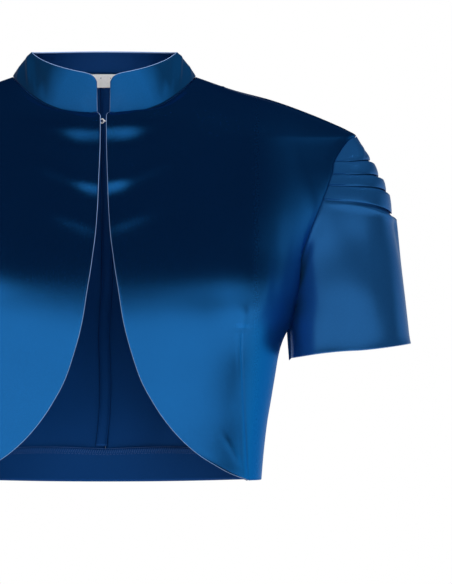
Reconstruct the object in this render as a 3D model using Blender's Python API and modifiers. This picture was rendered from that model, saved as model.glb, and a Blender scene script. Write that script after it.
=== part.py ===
"""Short-sleeved bolero jacket in satin, filled out as it is worn.

The frame is in metres with +Z up: X runs across the shoulders, the fronts face -Y, and the origin
lies on the centre line of the neck, level with the high points of the shoulders. Left and right are
the wearer's, so the left side is at +X. All sizes below are in millimetres.
"""

import math
from collections import namedtuple

import bmesh
import bpy
import numpy as np

MM = 0.001

# Cloth
WALL = 1.2
SEAM_GAP = 0.3
TURN_UP_WALL = 1.0
LABEL_WALL = 0.7

# Sides of the body along Y
FRONT = -1
BACK = 1

# Torso: each level section is a flattened oval, (x / half width)^n + (y / depth)^n = 1
SECTION_POWER = 2.3
CENTRE_TURN = math.pi / 2

# Depth of the sections at the centre front and the centre back, and how far the back lifts there
Section = namedtuple("Section", "z front_depth back_depth nape_rise")
SECTIONS = [
    Section(0.0, 29.0, 55.0, 8.0),
    Section(-5.0, 33.0, 57.5, 8.0),
    Section(-12.0, 40.5, 61.0, 7.5),
    Section(-22.5, 51.0, 66.0, 6.5),
    Section(-30.0, 61.5, 70.0, 5.5),
    Section(-46.0, 71.0, 77.0, 3.5),
    Section(-70.0, 83.0, 85.0, 1.0),
    Section(-100.0, 94.5, 92.0, 0.0),
    Section(-130.0, 105.0, 95.5, 0.0),
    Section(-163.0, 112.5, 96.0, 0.0),
    Section(-190.0, 114.5, 93.5, 0.0),
    Section(-230.0, 111.0, 89.0, -1.0),
    Section(-270.0, 104.5, 86.0, -2.0),
    Section(-311.9, 97.0, 85.0, -3.0),
]

# Edge where front and back meet: shoulder seam, then armhole, then side seam
RimPoint = namedtuple("RimPoint", "z x front_y back_y")
SHOULDER_TIP_Z = -45.7
UNDERARM_Z = -186.9
HEM_Z = -311.9
RIM = [
    RimPoint(0.0, 71.1, 0.0, 0.0),
    RimPoint(-10.1, 100.5, 0.0, 0.0),
    RimPoint(-17.8, 129.2, 0.0, 0.0),
    RimPoint(-27.1, 155.5, 0.0, 0.0),
    RimPoint(-36.4, 178.0, 0.0, 0.0),
    RimPoint(-41.1, 188.1, 0.0, 0.0),
    RimPoint(SHOULDER_TIP_Z, 195.1, 0.0, 0.0),
    RimPoint(-47.4, 191.5, 16.0, 16.0),
    RimPoint(-52.0, 187.0, 26.0, 26.0),
    RimPoint(-57.7, 182.8, 34.5, 34.0),
    RimPoint(-66.4, 178.0, 43.5, 43.0),
    RimPoint(-75.1, 176.5, 49.0, 49.0),
    RimPoint(-84.2, 173.4, 52.5, 53.0),
    RimPoint(-95.6, 169.0, 55.0, 56.0),
    RimPoint(-108.3, 163.8, 56.0, 57.5),
    RimPoint(-120.1, 159.1, 54.5, 56.0),
    RimPoint(-138.0, 153.2, 47.5, 50.0),
    RimPoint(-155.1, 148.9, 37.5, 40.5),
    RimPoint(-172.5, 143.9, 21.0, 24.0),
    RimPoint(UNDERARM_Z, 142.1, 0.0, 0.0),
    RimPoint(-199.2, 138.5, 0.0, 0.0),
    RimPoint(-213.1, 135.4, 0.0, 0.0),
    RimPoint(-231.7, 132.3, 0.0, 0.0),
    RimPoint(-250.3, 129.2, 0.0, 0.0),
    RimPoint(-268.9, 126.1, 0.0, 0.0),
    RimPoint(-296.8, 123.0, 0.0, 0.0),
    RimPoint(HEM_Z, 121.8, 0.0, 0.0),
]

# Fullness that the waist darts give over the bust
BUST_FULLNESS = 5.0
BUST_X = 86.0
BUST_Z = -170.0
BUST_HALF_WIDTH = 44.0
BUST_HALF_HEIGHT = 48.0

# Rows of each front panel: from the cutaway edge or the neck seam, across to the rim
PanelRow = namedtuple("PanelRow", "inner_x inner_z rim_z")
FRONT_COLUMNS = 12
FRONT_EDGE_ROWS = [
    PanelRow(112.7, -311.9, HEM_Z),
    PanelRow(97.1, -306.0, -306.5),
    PanelRow(85.5, -299.5, -300.5),
    PanelRow(74.0, -292.2, -293.5),
    PanelRow(59.3, -279.3, -281.0),
    PanelRow(45.0, -262.0, -265.0),
    PanelRow(36.8, -249.0, -252.5),
    PanelRow(29.3, -234.8, -239.0),
    PanelRow(22.2, -214.5, -219.0),
    PanelRow(16.7, -194.5, -199.5),
    PanelRow(14.2, -181.5, UNDERARM_Z),
    PanelRow(12.0, -166.6, -174.0),
    PanelRow(9.6, -152.0, -162.0),
    PanelRow(7.6, -138.0, -150.0),
    PanelRow(5.0, -117.0, -134.0),
    PanelRow(3.7, -95.3, -119.0),
    PanelRow(2.8, -73.6, -105.0),
    PanelRow(2.3, -56.6, -95.0),
    PanelRow(2.0, -44.0, -88.0),
    PanelRow(1.8, -37.2, -83.5),
    PanelRow(1.8, -34.1, -80.5),
    PanelRow(3.6, -31.0, -78.0),
]
FRONT_NECK_ROWS = [
    PanelRow(4.65, -28.7, -76.0),
    PanelRow(13.8, -29.5, -71.0),
    PanelRow(29.7, -27.4, -66.0),
    PanelRow(44.0, -22.5, -61.0),
    PanelRow(54.0, -16.3, -57.0),
    PanelRow(62.0, -9.8, -53.0),
    PanelRow(67.5, -4.4, -49.5),
    PanelRow(71.1, 0.0, SHOULDER_TIP_Z),
]

# Rows of each back panel: from the centre-back seam or the neck seam, across to the rim
BACK_COLUMNS = 11
BACK_SEAM_ROWS = [
    PanelRow(0.0, HEM_Z, HEM_Z),
    PanelRow(0.0, -290.0, -290.0),
    PanelRow(0.0, -262.0, -262.0),
    PanelRow(0.0, -234.0, -234.0),
    PanelRow(0.0, -207.0, -207.0),
    PanelRow(0.0, -185.0, UNDERARM_Z),
    PanelRow(0.0, -168.0, -172.5),
    PanelRow(0.0, -148.0, -155.1),
    PanelRow(0.0, -128.0, -138.0),
    PanelRow(0.0, -108.0, -120.1),
    PanelRow(0.0, -88.0, -106.0),
    PanelRow(0.0, -68.0, -94.0),
    PanelRow(0.0, -50.0, -84.2),
    PanelRow(0.0, -33.0, -75.1),
    PanelRow(0.0, -18.0, -69.0),
]
BACK_NECK_ROWS = [
    PanelRow(0.0, -4.5, -63.5),
    PanelRow(20.0, -4.3, -60.0),
    PanelRow(38.0, -3.9, -56.5),
    PanelRow(54.0, -3.1, -53.0),
    PanelRow(65.0, -1.7, -49.5),
    PanelRow(71.1, 0.0, SHOULDER_TIP_Z),
]

# Rows of each sleeve: from the armhole over the crest of the arm. The four pleats each have a fold
# edge, a tucked row under it and a rounded shoulder where the next tier swells out.
SleeveRow = namedtuple("SleeveRow", "seam_z crest_x crest_z half_depth seam_angle centre_x")
SLEEVE_TOP_Z = -50.0
SLEEVE_COLUMNS = 10
SLEEVE_CAP_ROWS = [
    SleeveRow(-57.0, 201.0, -55.5, 36.5, 92.0, 183.0),
    SleeveRow(-66.0, 205.9, -64.3, 45.0, 92.0, 180.0),
    SleeveRow(-66.9, 205.1, -65.7, 44.2, 92.0, 180.0),
    SleeveRow(-68.6, 209.1, -67.3, 47.0, 92.0, 179.0),
    SleeveRow(-76.0, 212.4, -77.1, 50.8, 93.0, 177.0),
    SleeveRow(-76.9, 211.7, -78.6, 50.0, 93.0, 177.0),
    SleeveRow(-78.8, 216.5, -80.3, 52.4, 94.0, 176.0),
    SleeveRow(-84.6, 218.3, -88.7, 54.0, 95.0, 176.0),
    SleeveRow(-85.5, 217.7, -90.2, 53.2, 95.0, 176.0),
    SleeveRow(-87.5, 221.2, -92.1, 55.4, 96.0, 176.0),
    SleeveRow(-95.3, 222.7, -105.8, 56.8, 98.0, 176.0),
    SleeveRow(-96.2, 222.1, -107.4, 56.0, 98.0, 176.0),
    SleeveRow(-98.4, 226.6, -110.4, 58.2, 99.0, 176.0),
    SleeveRow(-109.0, 228.3, -125.0, 59.2, 103.0, 176.0),
    SleeveRow(-125.0, 229.6, -138.0, 59.5, 111.0, 178.0),
    SleeveRow(-143.0, 231.0, -150.0, 59.4, 123.0, 181.0),
    SleeveRow(-160.0, 232.4, -161.5, 59.2, 138.0, 185.0),
    SleeveRow(-175.0, 233.9, -173.0, 59.0, 158.0, 188.0),
]
SLEEVE_TUBE_ROWS = [
    SleeveRow(UNDERARM_Z, 235.3, -184.5, 58.8, 180.0, 188.9),
    SleeveRow(-202.0, 236.6, -196.0, 58.6, 180.0, 190.2),
    SleeveRow(-217.8, 237.6, -206.5, 58.4, 180.0, 191.2),
]
SLEEVE_INNER_X = [142.6, 143.5, 144.7]
SLEEVE_OUT_OF_SEAM = 0.45

# Stand collar: its base follows the neck seam, its top edge is a smaller oval
COLLAR_BASE_LIFT = 0.4
COLLAR_TOP_HALF_WIDTH = 56.3
COLLAR_TOP_FRONT_DEPTH = 56.0
COLLAR_TOP_BACK_DEPTH = 43.5
COLLAR_TOP_POWER = 2.2
COLLAR_FRONT_TOP_X = 4.9
COLLAR_SWELL = 0.9
COLLAR_RISES = 4
COLLAR_FRONT_STATIONS = [4.65, 7.2, 10.5, 15.5, 22.0, 29.7, 37.0, 44.0, 50.0, 56.0, 61.5, 66.0, 69.4]
COLLAR_BACK_STATIONS = [71.1, 69.0, 65.0, 58.0, 49.0, 38.0, 26.0, 13.0, 0.0]
EdgePoint = namedtuple("EdgePoint", "x z")
COLLAR_TOP_EDGE = [
    EdgePoint(4.9, -4.6),
    EdgePoint(5.9, -1.6),
    EdgePoint(7.9, 0.3),
    EdgePoint(11.6, 2.0),
    EdgePoint(22.7, 4.4),
    EdgePoint(36.1, 8.1),
    EdgePoint(47.4, 12.8),
    EdgePoint(54.4, 17.6),
    EdgePoint(COLLAR_TOP_HALF_WIDTH, 19.6),
]
COLLAR_TOP_BACK_Z = 21.0

# Hem of the back, turned up inside, and the pressed seam allowance of the centre-back seam
TURN_UP_TOP_Z = -286.5
TURN_UP_WAVE = 1.2
TURN_UP_WAVES = 1.25
TURN_UP_COLUMNS = 18
TURN_UP_ROWS = 3
TURN_UP_FIRST_TURN = math.radians(4)
ALLOWANCE_HALF_WIDTH = 4.5
AllowancePoint = namedtuple("AllowancePoint", "z x")
ALLOWANCE_PATH = [
    AllowancePoint(-6.0, 0.5),
    AllowancePoint(-50.0, 1.2),
    AllowancePoint(-110.0, 1.5),
    AllowancePoint(-163.0, 1.0),
    AllowancePoint(-200.0, -1.0),
    AllowancePoint(-240.0, 0.0),
    AllowancePoint(-260.0, -0.8),
    AllowancePoint(-284.8, -3.4),
]
ALLOWANCE_ROWS = 16

# Blank neck label
LABEL_HALF_WIDTH = 14.0
LABEL_TOP_Z = 3.2
LABEL_HEIGHT = 10.5
LABEL_COLUMNS = 6

# Hook and eye below the collar
WIRE_RADIUS = 0.35
HOOK_Z = -35.0
EYE_RADIUS = 1.6
EYE_X = -1.1
HOOK_BEND = 0.95
HOOK_SHANK = 5.5
EYE_STEPS = 20
HOOK_STEPS = 8
HOOK_BEHIND_EDGE = 1.85


def smooth_curve(pairs):
    """A function through the (place, value) pairs that never swings past them."""
    places, values = (np.array(column, float) for column in zip(*sorted(pairs)))
    steps = np.diff(places)
    rates = np.diff(values) / steps
    slopes = np.zeros(len(places))
    slopes[0] = rates[0]
    slopes[-1] = rates[-1]
    for i in range(1, len(places) - 1):
        if rates[i - 1] * rates[i] > 0:
            slopes[i] = 2 * rates[i - 1] * rates[i] / (rates[i - 1] + rates[i])

    def value_at(place):
        place = min(max(place, places[0]), places[-1])
        i = min(int(np.searchsorted(places, place, side="right")) - 1, len(steps) - 1)
        t = (place - places[i]) / steps[i]
        start = values[i] * (1 + 2 * t) * (1 - t) ** 2 + values[i + 1] * t * t * (3 - 2 * t)
        return start + steps[i] * t * (1 - t) * (slopes[i] * (1 - t) - slopes[i + 1] * t)

    return value_at


depth_at = {
    FRONT: smooth_curve([(row.z, row.front_depth) for row in SECTIONS]),
    BACK: smooth_curve([(row.z, row.back_depth) for row in SECTIONS]),
}
nape_rise_at = smooth_curve([(row.z, row.nape_rise) for row in SECTIONS])


def section_half_width(rim_x, rim_y, depth):
    """Half width of the oval that passes through a rim point."""
    return rim_x / (1 - (rim_y / depth) ** SECTION_POWER) ** (1 / SECTION_POWER)


def half_width_pairs(side):
    pairs = []
    for row in RIM:
        rim_y = row.front_y if side == FRONT else row.back_y
        pairs.append((row.z, section_half_width(row.x, rim_y, depth_at[side](row.z))))
    return pairs


half_width_at = {side: smooth_curve(half_width_pairs(side)) for side in (FRONT, BACK)}
rim_y_at = {
    FRONT: smooth_curve([(row.z, row.front_y) for row in RIM]),
    BACK: smooth_curve([(row.z, row.back_y) for row in RIM]),
}


def turn_at(side, x, z):
    """Angle round the section, 0 at the rim side and a right angle at the centre."""
    share = min(x / half_width_at[side](z), 1.0)
    return math.acos(share ** (SECTION_POWER / 2))


def rim_turn_at(side, z):
    """Angle round the section at which the panel ends."""
    return math.asin((rim_y_at[side](z) / depth_at[side](z)) ** (SECTION_POWER / 2))


def bust_fullness(x, z):
    across = (x - BUST_X) / BUST_HALF_WIDTH
    up = (z - BUST_Z) / BUST_HALF_HEIGHT
    return BUST_FULLNESS * math.exp(-across * across - up * up)


def torso_point(side, z, turn):
    """A point on the outside of the left half of the body."""
    x = half_width_at[side](z) * max(math.cos(turn), 0.0) ** (2 / SECTION_POWER)
    y = depth_at[side](z) * max(math.sin(turn), 0.0) ** (2 / SECTION_POWER)
    if side == FRONT:
        return np.array([x, -y - bust_fullness(x, z) * math.sin(turn), z])
    return np.array([x, y, z + nape_rise_at(z) * math.sin(turn) ** 2])


def torso_normal(side, x, z):
    """Outward direction of the body surface at x on the section z."""
    power = SECTION_POWER

    def level(height):
        share_x = abs(x) / half_width_at[side](height)
        share_y = abs(y) / depth_at[side](height)
        return share_x ** power + share_y ** power

    y = abs(torso_point(side, z, turn_at(side, abs(x), z))[1])
    half_width = half_width_at[side](z)
    depth = depth_at[side](z)
    slope_x = power * abs(x) ** (power - 1) / half_width ** power * math.copysign(1, x)
    slope_y = power * y ** (power - 1) / depth ** power * side
    slope_z = level(z + 0.5) - level(z - 0.5)
    normal = np.array([slope_x, slope_y, slope_z])
    return normal / np.linalg.norm(normal)


def inside_point(side, x, z, inward):
    """A point under the body surface, moved in from the outside of the panel."""
    point = torso_point(side, z, turn_at(side, abs(x), z))
    point[0] = x
    return point - torso_normal(side, x, z) * inward


def armhole_point(side, z):
    """A point on the armhole seam, or at its ends on the shoulder tip and the underarm."""
    return torso_point(side, z, rim_turn_at(side, z))


def neck_rows(table, stations):
    """The rows along the neck seam, one for each station of the collar."""
    inner_z_at = smooth_curve([(row.inner_x, row.inner_z) for row in table])
    rim_z_at = smooth_curve([(row.inner_x, row.rim_z) for row in table])
    return [PanelRow(x, inner_z_at(x), rim_z_at(x)) for x in stations]


def torso_panel(side, rows, columns):
    """Grid of points from the inner edge of each row to the rim."""
    grid = []
    for row in rows:
        first_turn = CENTRE_TURN if row.inner_x == 0 else turn_at(side, row.inner_x, row.inner_z)
        last_turn = rim_turn_at(side, row.rim_z)
        line = []
        for column in range(columns + 1):
            share = column / columns
            z = row.inner_z + (row.rim_z - row.inner_z) * share
            point = torso_point(side, z, first_turn + (last_turn - first_turn) * share)
            point[1] += side * SEAM_GAP / 2
            line.append(point)
        grid.append(line)
    return np.array(grid)


def back_panel_grid():
    rows = BACK_SEAM_ROWS + neck_rows(BACK_NECK_ROWS, COLLAR_BACK_STATIONS[::-1])
    grid = torso_panel(BACK, rows, BACK_COLUMNS)
    grid[:, :, 0] = np.maximum(grid[:, :, 0], SEAM_GAP / 2)
    return grid


def sleeve_half_row(side, row, inner_x):
    """One side of a sleeve row, from the crest of the arm to the armhole seam."""
    if inner_x is None:
        end = armhole_point(side, row.seam_z)
    else:
        end = np.array([inner_x, 0.0, row.seam_z])
    last_angle = math.radians(row.seam_angle)
    reach = row.crest_x - row.centre_x

    def arc_point(angle):
        y = side * row.half_depth * math.sin(angle)
        fall = (1 - math.cos(angle)) / (1 - math.cos(last_angle))
        z = row.crest_z + (row.seam_z - row.crest_z) * fall
        return np.array([row.centre_x + reach * math.cos(angle), y, z])

    miss = end - arc_point(last_angle)
    line = []
    for column in range(SLEEVE_COLUMNS + 1):
        share = column / SLEEVE_COLUMNS
        line.append(arc_point(last_angle * share) + miss * share ** 2)
    return line


def sleeve_top_half_row(side):
    """The row on the armhole itself, over the tip of the shoulder."""
    line = []
    for column in range(SLEEVE_COLUMNS + 1):
        share = column / SLEEVE_COLUMNS
        line.append(armhole_point(side, SHOULDER_TIP_Z + (SLEEVE_TOP_Z - SHOULDER_TIP_Z) * share ** 2))
    return line


def whole_row(half_row):
    """A row from the front seam over the crest to the back seam."""
    front = half_row(FRONT)
    back = half_row(BACK)
    return front[::-1] + back[1:]


def step_out_of_seam(row):
    """Keeps the ends of a row a seam's width away from the armhole."""
    moved = [point.copy() for point in row]
    for end, beside in ((0, 1), (-1, -2)):
        along = row[beside] - row[end]
        moved[end] = row[end] + along / np.linalg.norm(along) * SLEEVE_OUT_OF_SEAM
    return moved


def sleeve_grid():
    top = whole_row(sleeve_top_half_row)
    rows = [[point + np.array([SLEEVE_OUT_OF_SEAM, 0.0, -SLEEVE_OUT_OF_SEAM / 2]) for point in top]]
    for row in SLEEVE_CAP_ROWS:
        rows.append(step_out_of_seam(whole_row(lambda side: sleeve_half_row(side, row, None))))
    for row, inner_x in zip(SLEEVE_TUBE_ROWS, SLEEVE_INNER_X):
        rows.append(whole_row(lambda side: sleeve_half_row(side, row, inner_x)))
    return np.array(rows)


front_neck_z_at = smooth_curve([(row.inner_x, row.inner_z) for row in FRONT_NECK_ROWS])
back_neck_z_at = smooth_curve([(row.inner_x, row.inner_z) for row in BACK_NECK_ROWS])
collar_top_z_at = smooth_curve([(point.x, point.z) for point in COLLAR_TOP_EDGE])


def collar_top_y(x, depth):
    share = min(x / COLLAR_TOP_HALF_WIDTH, 1.0)
    return depth * (1 - share ** COLLAR_TOP_POWER) ** (1 / COLLAR_TOP_POWER)


def collar_front_station(base_x):
    z = front_neck_z_at(base_x)
    base = torso_point(FRONT, z, turn_at(FRONT, base_x, z))
    first_x = COLLAR_FRONT_STATIONS[0]
    share = (base_x - first_x) / (COLLAR_BACK_STATIONS[0] - first_x)
    top_x = COLLAR_FRONT_TOP_X + share * (COLLAR_TOP_HALF_WIDTH - COLLAR_FRONT_TOP_X)
    top_y = -collar_top_y(top_x, COLLAR_TOP_FRONT_DEPTH)
    return base, np.array([top_x, top_y, collar_top_z_at(top_x)])


def collar_back_station(base_x):
    z = back_neck_z_at(base_x)
    base = torso_point(BACK, z, turn_at(BACK, base_x, z))
    base[0] = base_x
    share = base_x / COLLAR_BACK_STATIONS[0]
    top_x = COLLAR_TOP_HALF_WIDTH * share
    side_z = COLLAR_TOP_EDGE[-1].z
    top_z = COLLAR_TOP_BACK_Z + (side_z - COLLAR_TOP_BACK_Z) * share ** 2
    return base, np.array([top_x, collar_top_y(top_x, COLLAR_TOP_BACK_DEPTH), top_z])


def collar_grid():
    stations = [collar_front_station(x) for x in COLLAR_FRONT_STATIONS]
    stations += [collar_back_station(x) for x in COLLAR_BACK_STATIONS]
    grid = []
    for base, top in stations:
        base = base + np.array([0.0, 0.0, COLLAR_BASE_LIFT])
        outward = np.array([base[0], base[1], 0.0])
        outward /= np.linalg.norm(outward)
        line = []
        for rise in range(COLLAR_RISES + 1):
            share = rise / COLLAR_RISES
            swell = COLLAR_SWELL * 4 * share * (1 - share)
            line.append(base + (top - base) * share + outward * swell)
        grid.append(line)
    return np.array(grid)


def turn_up_grid():
    """The turned-up hem of the left half of the back, inside the panel."""
    inward = WALL + SEAM_GAP
    grid = []
    for rise in range(TURN_UP_ROWS + 1):
        line = []
        for column in range(TURN_UP_COLUMNS + 1):
            across = column / TURN_UP_COLUMNS
            turn = CENTRE_TURN + (TURN_UP_FIRST_TURN - CENTRE_TURN) * across
            top_z = TURN_UP_TOP_Z + TURN_UP_WAVE * math.sin(across * TURN_UP_WAVES * 2 * math.pi)
            z = HEM_Z + (top_z - HEM_Z) * rise / TURN_UP_ROWS
            outside = torso_point(BACK, z, turn)
            x = outside[0] if column else 0.0
            line.append(outside - torso_normal(BACK, x, z) * inward)
        grid.append(line)
    return np.array(grid)


def allowance_grid():
    """The pressed-open seam allowance, inside along the centre-back seam."""
    path = smooth_curve([(point.z, point.x) for point in ALLOWANCE_PATH])
    top_z = ALLOWANCE_PATH[0].z
    bottom_z = ALLOWANCE_PATH[-1].z
    grid = []
    for row in range(ALLOWANCE_ROWS + 1):
        z = bottom_z + (top_z - bottom_z) * row / ALLOWANCE_ROWS
        line = []
        for offset in (-ALLOWANCE_HALF_WIDTH, 0.0, ALLOWANCE_HALF_WIDTH):
            line.append(inside_point(BACK, path(z) + offset, z, WALL + SEAM_GAP))
        grid.append(line)
    return np.array(grid)


def label_grid():
    """The label hangs straight down from the back neck seam."""
    neck_z = back_neck_z_at(0.0)
    grid = []
    for rise in range(2):
        line = []
        for column in range(LABEL_COLUMNS + 1):
            x = LABEL_HALF_WIDTH * (2 * column / LABEL_COLUMNS - 1)
            y = torso_point(BACK, neck_z, turn_at(BACK, abs(x), neck_z))[1]
            line.append([x, y - WALL - SEAM_GAP, LABEL_TOP_Z - LABEL_HEIGHT * (1 - rise)])
        grid.append(line)
    return np.array(grid)


def cloth_material(name, colour, roughness, metallic=0.0):
    material = bpy.data.materials.new(name)
    material.use_nodes = True
    shader = material.node_tree.nodes["Principled BSDF"]
    shader.inputs["Base Color"].default_value = (*colour, 1.0)
    shader.inputs["Roughness"].default_value = roughness
    shader.inputs["Metallic"].default_value = metallic
    material.diffuse_color = (*colour, 1.0)
    return material


def add_object(name, data, material, collection):
    data.materials.append(material)
    thing = bpy.data.objects.new(name, data)
    collection.objects.link(thing)
    return thing


def surface_mesh(name, grid, across):
    """An open surface over a grid of points, with its faces turned away from the axis (x, y)."""
    mesh = bpy.data.meshes.new(name)
    surface = bmesh.new()
    rows = [[surface.verts.new(point * MM) for point in line] for line in grid]
    for low, high in zip(rows, rows[1:]):
        for i in range(len(low) - 1):
            surface.faces.new((low[i], low[i + 1], high[i + 1], high[i]))
    bmesh.ops.remove_doubles(surface, verts=surface.verts, dist=1e-6)
    surface.normal_update()
    facing = 0.0
    for face in surface.faces:
        middle = face.calc_center_median()
        out_x = middle.x - across[0] * MM
        out_y = middle.y - across[1] * MM
        facing += (face.normal.x * out_x + face.normal.y * out_y) * face.calc_area()
    if facing < 0:
        bmesh.ops.reverse_faces(surface, faces=surface.faces)
    surface.to_mesh(mesh)
    surface.free()
    mesh.shade_smooth()
    return mesh


def cloth_object(name, grid, material, collection, across=(0.0, 0.0), wall=WALL, mirrored=False):
    """A cloth wall that lies inside the given surface."""
    thing = add_object(name, surface_mesh(name, grid, across), material, collection)
    if mirrored:
        mirror = thing.modifiers.new("Other half", "MIRROR")
        mirror.use_axis = (True, False, False)
        mirror.merge_threshold = 0.0001
    solidify = thing.modifiers.new("Wall", "SOLIDIFY")
    solidify.thickness = wall * MM
    solidify.offset = -1.0
    return thing


def on_right(grid):
    """The same grid on the wearer's right."""
    other = grid.copy()
    other[:, :, 0] *= -1
    return other


def wire_object(name, points, closed, material, collection):
    curve = bpy.data.curves.new(name, "CURVE")
    curve.dimensions = "3D"
    curve.bevel_depth = WIRE_RADIUS * MM
    curve.bevel_resolution = 2
    curve.use_fill_caps = not closed
    spline = curve.splines.new("POLY")
    spline.points.add(len(points) - 1)
    for place, point in zip(spline.points, points):
        place.co = (*(value * MM for value in point), 1.0)
    spline.use_cyclic_u = closed
    return add_object(name, curve, material, collection)


def hook_and_eye(material, collection):
    """The eye lies behind the right edge, and the hook of the left edge is bent round its rim."""
    edge_y = torso_point(FRONT, HOOK_Z, CENTRE_TURN)[1]
    middle_y = edge_y + HOOK_BEHIND_EDGE + WIRE_RADIUS + HOOK_BEND
    eye = []
    for step in range(EYE_STEPS):
        angle = 2 * math.pi * step / EYE_STEPS
        x = EYE_X + EYE_RADIUS * math.cos(angle)
        eye.append((x, middle_y, HOOK_Z + EYE_RADIUS * math.sin(angle)))
    wire_object("eye", eye, True, material, collection)
    bend_x = EYE_X + EYE_RADIUS
    hook = [(bend_x + HOOK_SHANK, middle_y - HOOK_BEND, HOOK_Z)]
    for step in range(HOOK_STEPS + 1):
        angle = math.pi * (0.5 + step / HOOK_STEPS)
        x = bend_x + HOOK_BEND * math.cos(angle)
        hook.append((x, middle_y - HOOK_BEND * math.sin(angle), HOOK_Z))
    hook.append((bend_x + HOOK_SHANK / 2, middle_y + HOOK_BEND, HOOK_Z))
    wire_object("hook", hook, False, material, collection)


def clear_scene():
    for thing in list(bpy.data.objects):
        bpy.data.objects.remove(thing, do_unlink=True)


def build_jacket():
    clear_scene()
    jacket = bpy.data.collections.new("bolero_jacket")
    bpy.context.scene.collection.children.link(jacket)
    satin = cloth_material("satin", (0.02, 0.10, 0.32), 0.32)
    satin_inside = cloth_material("satin_inside", (0.015, 0.07, 0.24), 0.45)
    label_cloth = cloth_material("label_cloth", (0.85, 0.85, 0.83), 0.7)
    steel = cloth_material("steel", (0.7, 0.7, 0.72), 0.25, 1.0)

    front_stations = COLLAR_FRONT_STATIONS + COLLAR_BACK_STATIONS[:1]
    front_rows = FRONT_EDGE_ROWS + neck_rows(FRONT_NECK_ROWS, front_stations)
    front = torso_panel(FRONT, front_rows, FRONT_COLUMNS)
    cloth_object("front_left", front, satin, jacket)
    cloth_object("front_right", on_right(front), satin, jacket)
    back = back_panel_grid()
    cloth_object("back_left", back, satin, jacket)
    cloth_object("back_right", on_right(back), satin, jacket)
    sleeve = sleeve_grid()
    arm = (SLEEVE_TUBE_ROWS[0].centre_x, 0.0)
    cloth_object("sleeve_left", sleeve, satin, jacket, across=arm)
    cloth_object("sleeve_right", on_right(sleeve), satin, jacket, across=(-arm[0], 0.0))
    cloth_object("collar", collar_grid(), satin, jacket, mirrored=True)
    cloth_object("back_hem_turn_up", turn_up_grid(), satin_inside, jacket, wall=TURN_UP_WALL, mirrored=True)
    cloth_object("centre_back_allowance", allowance_grid(), satin_inside, jacket, wall=TURN_UP_WALL)
    cloth_object("label", label_grid(), label_cloth, jacket, wall=LABEL_WALL)
    hook_and_eye(steel, jacket)


build_jacket()
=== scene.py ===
"""Short-sleeved bolero jacket in blue satin: its cloth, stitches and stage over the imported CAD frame.

The scene is in metres with +Z up, in the frame of the CAD model, whose origin lies on the centre line
of the neck. Cloth sizes in the tables are in millimetres. Left and right are the wearer's, so the
left side is at +X, and the fronts face -Y.
"""

import math
from collections import namedtuple

import bmesh
import bpy
import numpy as np
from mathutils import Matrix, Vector


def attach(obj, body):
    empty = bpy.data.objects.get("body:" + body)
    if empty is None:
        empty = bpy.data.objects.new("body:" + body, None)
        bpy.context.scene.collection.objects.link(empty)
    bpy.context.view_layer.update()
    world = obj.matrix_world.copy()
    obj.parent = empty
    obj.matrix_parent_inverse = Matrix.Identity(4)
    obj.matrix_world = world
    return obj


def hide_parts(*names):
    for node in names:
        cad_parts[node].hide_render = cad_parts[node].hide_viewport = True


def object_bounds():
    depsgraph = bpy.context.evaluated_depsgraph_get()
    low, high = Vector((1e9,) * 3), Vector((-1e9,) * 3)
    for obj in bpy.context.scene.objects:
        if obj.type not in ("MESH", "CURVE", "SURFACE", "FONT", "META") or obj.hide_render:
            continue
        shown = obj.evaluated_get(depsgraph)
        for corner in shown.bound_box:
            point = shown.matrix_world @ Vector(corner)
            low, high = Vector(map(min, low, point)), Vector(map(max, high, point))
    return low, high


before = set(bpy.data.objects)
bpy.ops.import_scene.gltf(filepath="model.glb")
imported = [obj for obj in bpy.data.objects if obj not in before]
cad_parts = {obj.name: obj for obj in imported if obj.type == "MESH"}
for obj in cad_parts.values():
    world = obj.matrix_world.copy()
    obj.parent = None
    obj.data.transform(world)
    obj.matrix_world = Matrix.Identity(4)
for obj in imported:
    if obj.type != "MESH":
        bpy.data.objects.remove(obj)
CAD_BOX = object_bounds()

bl_info = {
    "name": "Bolero Jacket",
    "version": (1, 0, 0),
    "blender": (4, 5, 0),
    "location": "3D View > Sidebar > Bolero",
    "description": "Satin, pleats, stitches and stage of a short-sleeved bolero jacket",
    "category": "Object",
}

MM = 0.001


def table(kind, rows):
    """Plain rows as rows with the named columns of their kind."""
    return [kind(*row) for row in rows]


# Gap at a seam and thickness of the panels, as in the CAD model
SEAM_GAP = 0.3
CAD_WALL = 1.2

# How far the cloth rolls back at a pressed edge and at the neck seam, and turns in at a sewn seam.
# The sleeve turns in along X, Y and Z.
EDGE_ROLL = 0.25
NECK_ROLL = 0.9
SEAM_LIP = 1.7
SLEEVE_LIP = (1.6, 2.3, 1.8)
SLEEVE_LIP_BLEND = 8.0

# Sides of the body along Y
FRONT = -1
BACK = 1

# Torso: each level section is a flattened oval, (x / half width)^n + (y / depth)^n = 1
SECTION_POWER = 2.3
CENTRE_TURN = math.pi / 2
DEPTH_BLUR = 6

Section = namedtuple("Section", "z front_depth back_depth nape_rise")
SECTIONS = table(Section, [
    (0.0, 29.0, 55.0, 8.0),
    (-5.0, 33.0, 57.5, 8.0),
    (-12.0, 40.5, 61.0, 7.5),
    (-22.5, 51.0, 66.0, 6.5),
    (-30.0, 61.5, 70.0, 5.5),
    (-46.0, 71.0, 77.0, 3.5),
    (-70.0, 83.0, 85.0, 1.0),
    (-100.0, 94.5, 92.0, 0.0),
    (-130.0, 105.0, 95.5, 0.0),
    (-163.0, 112.5, 96.0, 0.0),
    (-190.0, 114.5, 93.5, 0.0),
    (-230.0, 111.0, 89.0, -1.0),
    (-270.0, 104.5, 86.0, -2.0),
    (-311.9, 97.0, 85.0, -3.0),
])

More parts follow.
